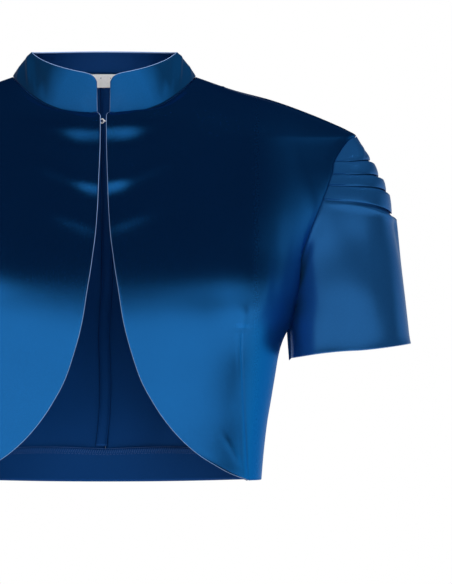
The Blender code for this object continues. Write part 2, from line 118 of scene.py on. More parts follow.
# Edge where front and back meet: shoulder seam, then armhole, then side seam
RimPoint = namedtuple("RimPoint", "z x front_y back_y")
SHOULDER_TIP_Z = -45.7
UNDERARM_Z = -186.9
HEM_Z = -311.9
RIM = table(RimPoint, [
    (0.0, 71.1, 0.0, 0.0),
    (-10.1, 100.5, 0.0, 0.0),
    (-17.8, 129.2, 0.0, 0.0),
    (-27.1, 155.5, 0.0, 0.0),
    (-36.4, 178.0, 0.0, 0.0),
    (-41.1, 188.1, 0.0, 0.0),
    (SHOULDER_TIP_Z, 195.1, 0.0, 0.0),
    (-47.4, 191.5, 16.0, 16.0),
    (-52.0, 187.0, 26.0, 26.0),
    (-57.7, 182.8, 34.5, 34.0),
    (-66.4, 178.0, 43.5, 43.0),
    (-75.1, 176.5, 49.0, 49.0),
    (-84.2, 173.4, 52.5, 53.0),
    (-95.6, 169.0, 55.0, 56.0),
    (-108.3, 163.8, 56.0, 57.5),
    (-120.1, 159.1, 54.5, 56.0),
    (-138.0, 153.2, 47.5, 50.0),
    (-155.1, 148.9, 37.5, 40.5),
    (-172.5, 143.9, 21.0, 24.0),
    (UNDERARM_Z, 142.1, 0.0, 0.0),
    (-199.2, 138.5, 0.0, 0.0),
    (-213.1, 135.4, 0.0, 0.0),
    (-231.7, 132.3, 0.0, 0.0),
    (-250.3, 129.2, 0.0, 0.0),
    (-268.9, 126.1, 0.0, 0.0),
    (-296.8, 123.0, 0.0, 0.0),
    (HEM_Z, 121.8, 0.0, 0.0),
])

# Fullness that the waist darts give over the bust
BUST_FULLNESS = 5.0
BUST_X = 86.0
BUST_Z = -170.0
BUST_HALF_WIDTH = 44.0
BUST_HALF_HEIGHT = 48.0

# Rows across the panels: from the free edge, the centre-back seam or the neck seam to the rim
PanelRow = namedtuple("PanelRow", "inner_x inner_z rim_z")
FRONT_EDGE_ROWS = table(PanelRow, [
    (112.7, -311.9, HEM_Z),
    (97.1, -306.0, -306.5),
    (85.5, -299.5, -300.5),
    (74.0, -292.2, -293.5),
    (59.3, -279.3, -281.0),
    (45.0, -262.0, -265.0),
    (36.8, -249.0, -252.5),
    (29.3, -234.8, -239.0),
    (22.2, -214.5, -219.0),
    (16.7, -194.5, -199.5),
    (14.2, -181.5, UNDERARM_Z),
    (12.0, -166.6, -174.0),
    (9.6, -152.0, -162.0),
    (7.6, -138.0, -150.0),
    (5.0, -117.0, -134.0),
    (3.7, -95.3, -119.0),
    (2.8, -73.6, -105.0),
    (2.3, -56.6, -95.0),
    (2.0, -44.0, -88.0),
    (1.8, -37.2, -83.5),
    (1.8, -34.1, -80.5),
    (3.6, -31.0, -78.0),
])
FRONT_NECK_ROWS = table(PanelRow, [
    (4.65, -28.7, -76.0),
    (13.8, -29.5, -71.0),
    (29.7, -27.4, -66.0),
    (44.0, -22.5, -61.0),
    (54.0, -16.3, -57.0),
    (62.0, -9.8, -53.0),
    (67.5, -4.4, -49.5),
    (71.1, 0.0, SHOULDER_TIP_Z),
])
BACK_SEAM_ROWS = table(PanelRow, [
    (0.0, HEM_Z, HEM_Z),
    (0.0, -290.0, -290.0),
    (0.0, -262.0, -262.0),
    (0.0, -234.0, -234.0),
    (0.0, -207.0, -207.0),
    (0.0, -185.0, UNDERARM_Z),
    (0.0, -168.0, -172.5),
    (0.0, -148.0, -155.1),
    (0.0, -128.0, -138.0),
    (0.0, -108.0, -120.1),
    (0.0, -88.0, -106.0),
    (0.0, -68.0, -94.0),
    (0.0, -50.0, -84.2),
    (0.0, -33.0, -75.1),
    (0.0, -18.0, -69.0),
])
BACK_NECK_ROWS = table(PanelRow, [
    (0.0, -4.5, -63.5),
    (20.0, -4.3, -60.0),
    (38.0, -3.9, -56.5),
    (54.0, -3.1, -53.0),
    (65.0, -1.7, -49.5),
    (71.1, 0.0, SHOULDER_TIP_Z),
])
FRONT_COLUMNS = 110
BACK_COLUMNS = 84
ROW_STEP = 2.0
NECK_ROW_STEP = 1.2
PANEL_SMOOTHING = 24

# Points on the close lines that rows and columns are spaced on
EDGE_SAMPLES = 1500
NECK_SAMPLES = 800
COLLAR_SAMPLES = 1200
SHARE_SAMPLES = 500
ROW_SAMPLES = 200

# Sleeve rows from the armhole over the crest of the arm. A pleat row is the fold edge of a pleat,
# the next row is the first line of the tier that comes out from under it.
SleeveRow = namedtuple("SleeveRow", "seam_z crest_x crest_z half_depth seam_angle centre_x hump pleat")
SLEEVE_TOP_Z = -50.0
SLEEVE_ROWS = table(SleeveRow, [
    (-57.0, 201.0, -55.5, 36.5, 92.0, 183.0, 0.3, False),
    (-66.0, 205.9, -64.3, 45.0, 92.0, 180.0, 0.7, True),
    (-68.6, 209.1, -67.3, 47.0, 92.0, 179.0, 0.8, False),
    (-76.0, 212.4, -77.1, 50.8, 93.0, 177.0, 1.6, True),
    (-78.8, 216.5, -80.3, 52.4, 94.0, 176.0, 1.7, False),
    (-84.6, 218.3, -88.7, 54.0, 95.0, 176.0, 2.1, True),
    (-87.5, 221.2, -92.1, 55.4, 96.0, 176.0, 2.1, False),
    (-95.3, 222.7, -105.8, 56.8, 98.0, 176.0, 2.5, True),
    (-98.4, 226.6, -110.4, 58.2, 99.0, 176.0, 2.2, False),
    (-109.0, 228.3, -125.0, 59.2, 103.0, 176.0, 1.2, False),
    (-125.0, 229.6, -138.0, 59.5, 111.0, 178.0, 0.4, False),
    (-143.0, 231.0, -150.0, 59.4, 123.0, 181.0, 0.0, False),
    (-160.0, 232.4, -161.5, 59.2, 138.0, 185.0, 0.0, False),
    (-175.0, 233.9, -173.0, 59.0, 158.0, 188.0, 0.0, False),
    (UNDERARM_Z, 235.3, -184.5, 58.8, 180.0, 188.9, 0.0, False),
    (-202.0, 236.6, -196.0, 58.6, 180.0, 190.2, 0.0, False),
    (-217.8, 237.6, -206.5, 58.4, 180.0, 191.2, 0.0, False),
])
SLEEVE_INNER_X = {UNDERARM_Z: 142.6, -202.0: 143.5, -217.8: 144.7}
SLEEVE_OUT_OF_SEAM = 0.45
SLEEVE_AXIS_X = 189.0
SLEEVE_PULL_Z = -120.0
SLEEVE_PULL_BLEND = 50.0
SLEEVE_PULL_POWERS = (2, 8)
SLEEVE_BACK_HUMP = 0.6
SLEEVE_HALF_COLUMNS = 62
PleatLine = namedtuple("PleatLine", "inward up")
PLEAT_LINES = table(PleatLine, [
    (0.30, -0.25),
    (0.75, -0.10),
    (1.05, 1.60),
    (1.35, 1.60),
    (1.25, -0.55),
])
PLEAT_END_SHARE = 0.12
PLEAT_END_POWER = 6
PLEAT_BLEND_START = 6
PLEAT_BLEND_ROWS = 10.0
SLEEVE_SECTION_POWER = 3.0
SLEEVE_SMOOTHING = 70
SLEEVE_ROW_STEP = 1.6
SLEEVE_ROW_COUNTS = (3, 14)
SLEEVE_FIT_COLUMNS = 8.0
SLEEVE_SIDE_BLEND = 16.0
SLEEVE_SEAM_SHARE = 0.1

# Stand collar
COLLAR_BASE_LIFT = 0.4
COLLAR_TOP_HALF_WIDTH = 56.3
COLLAR_TOP_FRONT_DEPTH = 56.0
COLLAR_TOP_BACK_DEPTH = 43.5
COLLAR_TOP_POWER = 2.2
COLLAR_FRONT_BASE_X = 4.65
COLLAR_FRONT_TOP_X = 4.9
COLLAR_SIDE_X = 71.1
COLLAR_SWELL = 0.9
COLLAR_COLUMNS = 22
COLLAR_STEP = 1.1
COLLAR_SMOOTHING = 8
COLLAR_FRONT_BLEND = 4.0
COLLAR_BASE_SHARE = 0.12
EdgePoint = namedtuple("EdgePoint", "x z")
COLLAR_TOP_EDGE = table(EdgePoint, [
    (4.9, -4.6),
    (5.9, -1.6),
    (7.9, 0.3),
    (11.6, 2.0),
    (22.7, 4.4),
    (36.1, 8.1),
    (47.4, 12.8),
    (54.4, 17.6),
    (COLLAR_TOP_HALF_WIDTH, 19.6),
])
COLLAR_TOP_BACK_Z = 21.0

# Back hem turned up inside, and the pressed allowance of the centre-back seam
TURN_UP_TOP_Z = -286.5
TURN_UP_WAVE = 1.2
TURN_UP_WAVES = 1.25
TURN_UP_COLUMNS = 120
TURN_UP_ROWS = 14
TURN_UP_FIRST_TURN = math.radians(4)
TURN_UP_CURL = 0.35
TURN_UP_RIPPLES = 17.0
ALLOWANCE_HALF_WIDTH = 4.5
ALLOWANCE_CURL = 1.2
ALLOWANCE_RIPPLE = 0.25
ALLOWANCE_RIPPLE_STEP = 11.0
ALLOWANCE_ROWS = 150
ALLOWANCE_COLUMNS = 12
AllowancePoint = namedtuple("AllowancePoint", "z x")
ALLOWANCE_PATH = table(AllowancePoint, [
    (-6.0, 0.5),
    (-50.0, 1.2),
    (-110.0, 1.5),
    (-163.0, 1.0),
    (-200.0, -1.0),
    (-240.0, 0.0),
    (-260.0, -0.8),
    (-284.8, -3.4),
])

# Blank neck label
LABEL_HALF_WIDTH = 14.0
LABEL_TOP_Z = 3.2
LABEL_HEIGHT = 10.5
LABEL_CURL = 0.5
LABEL_COLUMNS = 40
LABEL_ROWS = 16

# Walls of the inner pieces in metres, and how far their stitches stand off the cloth in millimetres
TURN_UP_WALL = 1.0 * MM
LABEL_WALL = 0.6 * MM
OVERLOCK_LIFT = 0.12
LABEL_STITCH_LIFT = 0.75

# Stitches at the ends of the label, in metres
LABEL_STITCH_SPACING = 1.5 * MM
LABEL_STITCH_LENGTH = 1.1 * MM
LABEL_THREAD_RADIUS = 0.13 * MM

# Points of a mesh that are closer than this are one point, and the material slot of the painted highlight
# along a pressed edge
MERGE_DISTANCE = 0.00002
EDGE_HIGHLIGHT_SLOT = 2

# Soft folds, as seen from the front: lean is from upright towards +X, length is from end to end.
# One side of a fold is steeper by the share given here, and its line is bowed.
FOLD_STEEPNESS = 0.25
FOLD_BOW = 0.25
FOLD_END_POWER = 3
Fold = namedtuple("Fold", "x z lean length width height")
FRONT_FOLDS = table(Fold, [
    (3.0, -37.0, 84.0, 62.0, 11.5, 6.1),
    (42.0, -33.0, 70.0, 74.0, 11.0, 3.4),
    (13.0, -31.0, 80.0, 22.0, 3.0, -1.5),
    (9.0, -55.5, 87.0, 58.0, 3.6, -0.8),
    (2.0, -79.5, 80.0, 40.0, 11.0, 3.3),
    (31.0, -71.0, 64.0, 60.0, 11.0, 2.8),
    (8.0, -97.0, 88.0, 44.0, 3.6, -0.6),
    (21.0, -107.0, 68.0, 46.0, 11.0, 2.6),
    (136.0, -172.0, 84.0, 80.0, 28.0, 7.8),
    (148.0, -64.0, 76.0, 80.0, 30.0, -4.4),
    (116.0, -150.0, 12.0, 96.0, 10.0, 1.4),
    (124.0, -146.0, 12.0, 62.0, 5.0, 0.7),
    (136.0, -144.0, 16.0, 50.0, 4.5, 0.6),
    (157.0, -86.0, -14.0, 70.0, 6.0, 0.9),
    (91.0, -11.0, 25.0, 10.0, 1.7, 0.8),
    (99.7, -289.0, -28.6, 26.0, 2.2, 0.35),
    (70.0, -216.0, 36.0, 96.0, 16.0, 0.8),
    (96.0, -242.0, 24.0, 82.0, 12.0, 0.5),
    (50.0, -228.0, 52.0, 74.0, 13.0, -0.5),
    (104.8, -188.0, 2.0, 18.0, 2.6, 0.6),
    (104.8, -194.5, 88.0, 11.0, 1.9, -0.6),
])
BACK_FOLDS = table(Fold, [
    (10.0, -34.0, 84.0, 84.0, 8.0, 0.9),
    (88.0, -58.0, 62.0, 90.0, 9.0, 0.8),
    (112.0, -158.0, 10.0, 74.0, 8.0, 1.0),
    (131.0, -150.0, 14.0, 58.0, 5.0, 0.9),
    (155.0, -92.0, -13.0, 78.0, 6.0, 0.8),
    (62.0, -206.0, 24.0, 110.0, 15.0, 1.0),
    (96.0, -250.0, 8.0, 92.0, 11.0, 0.9),
    (34.0, -262.0, 4.0, 84.0, 10.0, 0.7),
    (40.0, -118.0, 76.0, 96.0, 14.0, -0.6),
])
TIER_FOLDS = table(Fold, [
    (200.3, -57.5, 3.0, 15.0, 1.3, 0.45),
    (196.4, -59.0, -7.0, 13.0, 1.6, 0.35),
])
SLEEVE_FRONT_FOLDS = table(Fold, [
    (184.0, -150.0, -30.0, 128.0, 22.0, 3.0),
    (206.0, -118.0, 68.0, 92.0, 30.0, -3.2),
    (206.0, -152.0, -4.0, 70.0, 4.5, 0.35),
    (222.0, -172.0, -8.0, 54.0, 7.0, 0.7),
    (168.0, -188.0, 8.0, 50.0, 8.0, 0.6),
])
SLEEVE_BACK_FOLDS = table(Fold, [
    (190.0, -140.0, -18.0, 86.0, 12.0, 1.5),
    (212.0, -160.0, -6.0, 66.0, 7.0, 0.8),
    (166.0, -182.0, 12.0, 54.0, 8.0, 0.9),
])
COLLAR_FOLDS = table(Fold, [
    (59.0, 7.5, 3.0, 22.0, 1.2, 1.1),
    (66.6, 4.0, -12.0, 10.0, 1.0, 0.6),
    (53.0, 5.0, 5.0, 26.0, 2.6, -0.7),
    (46.5, -6.0, 8.0, 22.0, 4.0, -0.5),
    (11.0, -24.0, 20.0, 16.0, 4.0, -0.7),
])

# The right half hangs a little differently, and no fold goes over a seam
RIGHT_FOLD_STRENGTH = 0.92
RIGHT_FOLD_SHIFT = 1.5
SEAM_FADE = 7.0
SEAM_FADE_ROWS = 3.0

# Waist dart of each front: a sewn line with its pressed fold beside it. The columns crowd there.
DART_LOW = EdgePoint(111.4, -311.9)
DART_TIP = EdgePoint(104.8, -196.0)
DART_GROOVE_WIDTH = 0.8
DART_FOLD_WIDTH = 5.0
DART_FOLD_SHARE = 0.5
DART_FOLD_RISE = 2.5
DART_FOLD_DROP = 0.8
DART_TIP_FADE = 9.0
DART_TIP_SHOWN = 0.4
DART_HEM_FADE = 3.0
DART_CROWDING = 3
DART_CROWD_WIDTH = 0.04

# Size of each cut as it lies flat, in metres, and what it rests on, written for the left half
Cut = namedtuple("Cut", "width length area held rests_on")
CUTS = {
    "front": Cut(0.205, 0.330, 0.054, "hung", ["back_left"]),
    "back": Cut(0.190, 0.325, 0.055, "hung", ["front_left"]),
    "sleeve": Cut(0.330, 0.200, 0.045, "gathered", ["front_left", "back_left"]),
    "collar": Cut(0.395, 0.034, None, "stretched", ["back_left", "back_right"]),
    "turn_up": Cut(0.300, 0.026, None, "folded", ["back_left", "back_right"]),
    "allowance": Cut(0.010, 0.285, None, "folded", ["back_left", "back_right"]),
    "label": Cut(0.028, 0.0105, None, "hung", ["collar"]),
}

# Outside of each kind of piece: its colour, what it adds to the roughness of the satin, its share of
# the gloss, how dark its painted shade gets where it turns away from the view, and its added blur towards
# the armholes
Outside = namedtuple("Outside", "name colour added_roughness gloss_share side_shade side_blur")
OUTSIDES = {
    "body": Outside("satin body", "satin_colour", 0.0, 1.0, 1.0, 0.30),
    # The sleeve and collar take darker copies of the body satin's colour: painted shade
    "sleeve": Outside("satin sleeve", "sleeve_colour", 0.09, 0.76, 1.0, 0.0),
    "collar": Outside("satin stand", "collar_colour", 0.20, 0.4, 0.34, 0.0),
}
# Facing range over which painted shade darkens the colour where the cloth turns away from the view
PAINTED_SHADE_FACING = (0.10, 0.27)
SIDE_BLUR_X = (0.112, 0.144)

# Threads in a metre of each cloth, and the sizes and strengths of weave, grain and cloudiness
SATIN_THREADS = 3200.0
LABEL_THREADS = 2400.0
SEWING_THREADS = 5200.0
WARP_HEIGHT = 0.5
TIE_HEIGHT = 0.35
GRAIN_HEIGHT = 0.8
RELIEF_DISTANCE = 0.00008
GRAIN_SCALE = 900.0
CLOUD_SCALE = 0.02
GRAIN_SHARE = 0.65
CLOUD_SHARE = 0.35
GRAIN_ROUGHNESS = 0.03

# Colour sockets of a Mix node, by number because others have the same names
MIX_FIRST = 6
MIX_SECOND = 7
MIX_RESULT = 2

# Plain colours of the wire and the stage
WHITE = (1.0, 1.0, 1.0, 1.0)
WORN_STEEL = (0.84, 0.84, 0.86, 1.0)
BRIGHT_STEEL = (0.96, 0.96, 0.97, 1.0)
PALE_GREY = (0.86, 0.86, 0.87, 1.0)
STUDIO_DARK = (0.004, 0.012, 0.036, 1.0)

# Studio: the glow of the floor, how the dark comes down at the side, and the levels of the low
# light from the front (0) round to the back (1)
FLOOR_GLOW = 0.45
SIDE_DROP_POWER = 2.2
SIDE_DROP_END_Y = 0.5
LightLevel = namedtuple("LightLevel", "place level")
FRONT_LEVEL = 1.0
BACK_LEVEL = 0.80
LIGHT_LEVELS = table(LightLevel, [
    (0.36, 1.0),
    (0.55, 0.82),
    (0.73, 0.95),
])

# Soft lights: where they stand, what they aim at and how wide they are
FRONT_LIGHT_PLACE = (0.2, -3.0, 0.5)
SIDE_LIGHT_PLACE = (0.9, -0.6, 3.4)
LIGHT_AIM = (0.05, 0.0, -0.1)
LIGHT_WIDTH = 1.6


def calm_slopes(rates):
    """Slopes at the points of a smooth line, which keep it from swinging past them."""
    before = rates[:-1]
    after = rates[1:]
    same_way = before * after > 0
    total = np.where(same_way, before + after, 1.0)
    inner = np.where(same_way, 2 * before * after / total, 0.0)
    return np.concatenate([rates[:1], inner, rates[-1:]])


def smooth_between(start, end, start_slope, end_slope, gap, t):
    """The point at share t of the smooth line between two points with these slopes."""
    point = start * (1 + 2 * t) * (1 - t) ** 2 + end * t * t * (3 - 2 * t)
    return point + gap * t * (1 - t) * (start_slope * (1 - t) - end_slope * t)


def smooth_curve(pairs):
    """A function through the (place, value) pairs that never swings past them."""
    places, values = (np.array(column, float) for column in zip(*sorted(pairs)))
    steps = np.diff(places)
    slopes = calm_slopes(np.diff(values) / steps)

    def value_at(place):
        place = np.clip(place, places[0], places[-1])
        i = np.clip(np.searchsorted(places, place, side="right") - 1, 0, len(steps) - 1)
        t = (place - places[i]) / steps[i]
        return smooth_between(values[i], values[i + 1], slopes[i], slopes[i + 1], steps[i], t)

    return value_at


def softened(curve, blur=DEPTH_BLUR):
    """The curve over the height of the body, averaged so that satin shows no kink in it."""
    places = np.arange(math.floor(HEM_Z) - 1.0, 1.0)
    reach = np.arange(-3 * blur, 3 * blur + 1)
    weights = np.exp(-0.5 * (reach / blur) ** 2)
    longer = np.pad(curve(places), 3 * blur, mode="reflect", reflect_type="odd")
    values = np.convolve(longer, weights / weights.sum(), mode="valid")
    return lambda place: np.interp(place, places, values)


depth_at = {
    FRONT: softened(smooth_curve([(row.z, row.front_depth) for row in SECTIONS])),
    BACK: softened(smooth_curve([(row.z, row.back_depth) for row in SECTIONS])),
}
nape_rise_at = softened(smooth_curve([(row.z, row.nape_rise) for row in SECTIONS]))
rim_y_at = {
    FRONT: smooth_curve([(row.z, row.front_y) for row in RIM]),
    BACK: smooth_curve([(row.z, row.back_y) for row in RIM]),
}


def half_width_curve(side):
    """Half width of the ovals that pass through the rim."""
    pairs = []
    for row in RIM:
        rim_y = row.front_y if side == FRONT else row.back_y
        share = 1 - (rim_y / depth_at[side](row.z)) ** SECTION_POWER
        pairs.append((row.z, row.x / share ** (1 / SECTION_POWER)))
    return smooth_curve(pairs)


half_width_at = {side: half_width_curve(side) for side in (FRONT, BACK)}
front_neck_z_at = smooth_curve([(row.inner_x, row.inner_z) for row in FRONT_NECK_ROWS])
back_neck_z_at = smooth_curve([(row.inner_x, row.inner_z) for row in BACK_NECK_ROWS])
collar_top_z_at = smooth_curve([(point.x, point.z) for point in COLLAR_TOP_EDGE])


def smooth_step(value):
    """0 up to 0, 1 from 1 on, and a smooth rise between."""
    value = np.clip(value, 0.0, 1.0)
    return value * value * (3 - 2 * value)


def unit(vectors):
    """The same directions with a length of one."""
    return vectors / np.linalg.norm(vectors, axis=-1, keepdims=True)


def lengths(points):
    """Distance along a line of points from its first one."""
    steps = np.linalg.norm(np.diff(points, axis=0), axis=-1)
    return np.concatenate([[0.0], np.cumsum(steps)])


def turn_at(side, x, z):
    """Angle round the section, 0 at the rim side and a right angle at the centre."""
    share = np.clip(x / half_width_at[side](z), 0.0, 1.0)
    return np.arccos(share ** (SECTION_POWER / 2))


def rim_turn_at(side, z):
    """Angle round the section at which the panel ends."""
    return np.arcsin((rim_y_at[side](z) / depth_at[side](z)) ** (SECTION_POWER / 2))


def torso_points(side, z, turn):
    """Points on the outside of the left half of the body."""
    cosine = np.clip(np.cos(turn), 0.0, None)
    sine = np.clip(np.sin(turn), 0.0, None)
    x = half_width_at[side](z) * cosine ** (2 / SECTION_POWER)
    y = side * depth_at[side](z) * sine ** (2 / SECTION_POWER)
    if side == BACK:
        return np.stack([x, y, z + nape_rise_at(z) * sine ** 2], axis=-1)
    across = (x - BUST_X) / BUST_HALF_WIDTH
    up = (z - BUST_Z) / BUST_HALF_HEIGHT
    fullness = BUST_FULLNESS * np.exp(-across * across - up * up)
    return np.stack([x, y - fullness * sine, z + 0 * x], axis=-1)


def torso_normals(side, x, z):
    """Outward directions of the body at x on the sections z."""
    power = SECTION_POWER
    y = np.abs(torso_points(side, z, turn_at(side, np.abs(x), z))[..., 1])

    def level(height):
        return (np.abs(x) / half_width_at[side](height)) ** power + (y / depth_at[side](height)) ** power

    slope_x = power * np.abs(x) ** (power - 1) / half_width_at[side](z) ** power * np.sign(x)
    slope_y = power * y ** (power - 1) / depth_at[side](z) ** power * side
    return unit(np.stack([slope_x, slope_y, level(z + 0.5) - level(z - 0.5)], axis=-1))


def inside_points(side, x, z, inward):
    """Points under the body surface, moved in from the outside of the panel."""
    points = torso_points(side, z, turn_at(side, np.abs(x), z))
    points[..., 0] = x
    return points - torso_normals(side, x, z) * inward


def spaced_rows(rows, side, step):
    """Close rows from the path of (inner x, inner z, rim z), at even steps of the cloth."""
    inner = torso_points(side, rows[:, 1], turn_at(side, rows[:, 0], rows[:, 1]))
    rim = torso_points(side, rows[:, 2], rim_turn_at(side, rows[:, 2]))
    along = (lengths(inner) + lengths(rim)) / 2
    count = max(int(round(along[-1] / step)), 2)
    places = np.linspace(0.0, along[-1], count + 1)
    return np.stack([np.interp(places, along, column) for column in rows.T], axis=1)


def panel_rows(edge_rows, neck_rows, side):
    """All rows of a panel: up its free edge or centre seam, and then along the neck seam."""
    controls = edge_rows + neck_rows[:1]
    index = range(len(controls))
    fine = np.linspace(0, len(controls) - 1, EDGE_SAMPLES)
    edge = np.stack([smooth_curve(list(zip(index, column)))(fine) for column in zip(*controls)], axis=1)
    x = np.linspace(neck_rows[0].inner_x, neck_rows[-1].inner_x, NECK_SAMPLES)
    z = smooth_curve([(row.inner_x, row.inner_z) for row in neck_rows])(x)
    rim_z = smooth_curve([(row.inner_x, row.rim_z) for row in neck_rows])(x)
    edge = spaced_rows(edge, side, ROW_STEP)
    neck = spaced_rows(np.stack([x, z, rim_z], axis=1), side, NECK_ROW_STEP)
    return np.concatenate([edge, neck[1:]]), len(edge)


def crowded_shares(place, columns):
    """Shares from 0 to 1 across a row, closer together round one place."""
    fine = np.linspace(0.0, 1.0, SHARE_SAMPLES)
    weight = 1 + DART_CROWDING * np.exp(-((fine - place) / DART_CROWD_WIDTH) ** 2)
    sums = np.cumsum(weight)
    sums = (sums - sums[0]) / (sums[-1] - sums[0])
    return np.interp(np.linspace(0.0, 1.0, columns + 1), sums, fine)


def dart_x_at(z):
    """Place of the dart's sewn line at the height z."""
    share = (z - DART_LOW.z) / (DART_TIP.z - DART_LOW.z)
    return DART_LOW.x + (DART_TIP.x - DART_LOW.x) * share


def row_points(side, row, shares):
    """Points of one panel row, at shares of the way from its inner end to the rim."""
    first_turn = CENTRE_TURN if row[0] == 0 else turn_at(side, row[0], row[1])
    last_turn = rim_turn_at(side, row[2])
    z = row[1] + (row[2] - row[1]) * shares
    return torso_points(side, z, first_turn + (last_turn - first_turn) * shares)


def panel_grid(side, rows, columns, with_dart):
    """Grid of points over a panel, with columns crowded at the dart line."""
    grid = []
    fine = np.linspace(0.0, 1.0, ROW_SAMPLES)
    for row in rows:
        shares = np.linspace(0.0, 1.0, columns + 1)
        if with_dart:
            line = row_points(side, row, fine)
            place = np.interp(0.0, line[:, 0] - dart_x_at(line[:, 2]), fine)
            shares = crowded_shares(place, columns)
        grid.append(row_points(side, row, shares))
    return np.array(grid)


def smooth_inside(grid, rounds):
    """Averages each inner point with its four neighbours and leaves the edges where they are."""
    grid = grid.copy()
    for _ in range(rounds):
        sides = grid[:-2, 1:-1] + grid[2:, 1:-1] + grid[1:-1, :-2] + grid[1:-1, 2:]
        grid[1:-1, 1:-1] = grid[1:-1, 1:-1] / 2 + sides / 8
    return grid


def grid_normals(grid, axis_x=0.0):
    """Directions away from the cloth, on the side that is turned from the axis."""
    normal = np.cross(np.gradient(grid, axis=1), np.gradient(grid, axis=0))
    normal /= np.linalg.norm(normal, axis=-1, keepdims=True) + 1e-12
    outward = normal[..., 0] * (grid[..., 0] - axis_x) + normal[..., 1] * grid[..., 1]
    return normal if outward.sum() > 0 else -normal


def fold_heights(folds, x, z):
    """Height of all soft folds at the places (x, z). Each is steeper on one side than on the other."""
    total = np.zeros_like(x)
    for fold in folds:
        lean = math.radians(fold.lean)
        along = (x - fold.x) * math.sin(lean) + (z - fold.z) * math.cos(lean)
        across = ((x - fold.x) * math.cos(lean) - (z - fold.z) * math.sin(lean)) / fold.width
        end = np.exp(-(np.abs(along) / (fold.length / 2)) ** FOLD_END_POWER)
        bow = FOLD_BOW * (along / fold.length) ** 2
        across = across * (1 + FOLD_STEEPNESS * np.tanh(across)) + bow
        total += fold.height * end * np.exp(-across * across)
    return total


def dart_heights(x, z, depth):
    """The sewn groove of the dart and its pressed fold towards the centre. They fade at tip and hem."""
    across = x - dart_x_at(z)
    below_tip = smooth_step((DART_TIP.z - z) / DART_TIP_FADE + DART_TIP_SHOWN)
    above_hem = smooth_step((z - HEM_Z) / DART_HEM_FADE)
    groove = -depth * np.exp(-(across / DART_GROOVE_WIDTH) ** 2)
    rise = smooth_step((across + DART_FOLD_WIDTH) / DART_FOLD_RISE)
    fold = DART_FOLD_SHARE * depth * rise * smooth_step(-across / DART_FOLD_DROP)
    return below_tip * above_hem * (groove + fold)


def seam_distances(grid):
    """Distance of each point from the rim, from the last row and from the first column."""
    steps = np.linalg.norm(np.diff(grid, axis=1), axis=-1)
    across = np.concatenate([np.zeros((len(grid), 1)), np.cumsum(steps, axis=1)], axis=1)
    steps = np.linalg.norm(np.diff(grid, axis=0), axis=-1)
    down = np.concatenate([np.zeros((1, grid.shape[1])), np.cumsum(steps, axis=0)], axis=0)
    return across[:, -1:] - across, down[-1:] - down, across


def seam_fade(grid, first_seam_row):
    """0 at a seam and 1 away from it. The first column is a seam from the given row on."""
    from_rim, from_last, from_first = seam_distances(grid)
    row = np.arange(len(grid))[:, None]
    free = smooth_step((first_seam_row - row) / SEAM_FADE_ROWS)
    from_first = np.maximum(smooth_step(from_first / SEAM_FADE), free)
    return smooth_step(from_rim / SEAM_FADE) * smooth_step(from_last / SEAM_FADE) * from_first


def shifted(folds, mirrored):
    """The folds of the left half, or for the right half the same ones a little weaker and lower."""
    if not mirrored:
        return folds
    changed = []
    for fold in folds:
        height = fold.height * RIGHT_FOLD_STRENGTH
        changed.append(fold._replace(z=fold.z - RIGHT_FOLD_SHIFT, height=height))
    return changed


def on_right(grid):
    """The grid mirrored onto the wearer's right."""
    other = grid.copy()
    other[..., 0] *= -1
    return other


def front_grid(folds, mirrored):
    """The left front with its folds and dart, and the row from which its first column is the neck seam."""
    rows, first_seam_row = panel_rows(FRONT_EDGE_ROWS, FRONT_NECK_ROWS, FRONT)
    grid = smooth_inside(panel_grid(FRONT, rows, FRONT_COLUMNS, True), PANEL_SMOOTHING)
    grid[..., 1] -= SEAM_GAP / 2
    x = grid[..., 0]
    z = grid[..., 2]
    height = fold_heights(shifted(FRONT_FOLDS, mirrored), x, z) * folds.strength
    height = height * seam_fade(grid, first_seam_row)
    height += dart_heights(x, z, folds.dart_depth / MM)
    grid = grid + grid_normals(grid) * height[..., None]
    return grid, first_seam_row


def back_grid(folds, mirrored):
    """The left back with its folds. Its first column runs up the centre seam and round the neck."""
    rows, neck_row = panel_rows(BACK_SEAM_ROWS, BACK_NECK_ROWS, BACK)
    grid = smooth_inside(panel_grid(BACK, rows, BACK_COLUMNS, False), PANEL_SMOOTHING)
    grid[..., 1] += SEAM_GAP / 2
    height = fold_heights(shifted(BACK_FOLDS, mirrored), grid[..., 0], grid[..., 2])
    height = height * folds.strength * seam_fade(grid, 0)
    grid = grid + grid_normals(grid) * height[..., None]
    grid[..., 0] = np.maximum(grid[..., 0], SEAM_GAP / 2)
    grid[:neck_row + 1, 0, 0] = SEAM_GAP / 10
    return grid


def armhole_points(side, z):
    """Points of the armhole of the body at the heights z."""
    return torso_points(side, z, rim_turn_at(side, z))


def sleeve_half_row(side, row, shares):
    """One side of a sleeve row, from the crest of the arm to the armhole or underarm seam."""
    end = armhole_points(side, np.float64(row.seam_z))
    if row.seam_z in SLEEVE_INNER_X:
        end = np.array([SLEEVE_INNER_X[row.seam_z], 0.0, row.seam_z])
    last = math.radians(row.seam_angle)
    angle = last * shares
    reach = row.crest_x - row.centre_x
    fall = (1 - np.cos(angle)) / (1 - math.cos(last))
    rounding = 2 / SLEEVE_SECTION_POWER
    x = row.centre_x + reach * np.sign(np.cos(angle)) * np.abs(np.cos(angle)) ** rounding
    y = side * row.half_depth * np.abs(np.sin(angle)) ** rounding
    z = row.crest_z + (row.seam_z - row.crest_z) * fall
    arc = np.stack([x, y, z], axis=-1)
    # Low on the armhole only the cloth close to the seam is drawn to it
    first, last_power = SLEEVE_PULL_POWERS
    low = float(smooth_step((SLEEVE_PULL_Z - row.seam_z) / SLEEVE_PULL_BLEND))
    points = arc + (end - arc[-1]) * shares[:, None] ** (first + (last_power - first) * low)
    points[:, 2] += row.hump * np.sin(math.pi * shares) * (1.0 if side == FRONT else SLEEVE_BACK_HUMP)
    return points


def joined(front, back):
    """A row from the front seam over the crest to the back seam."""
    return np.concatenate([front[::-1], back[1:]])


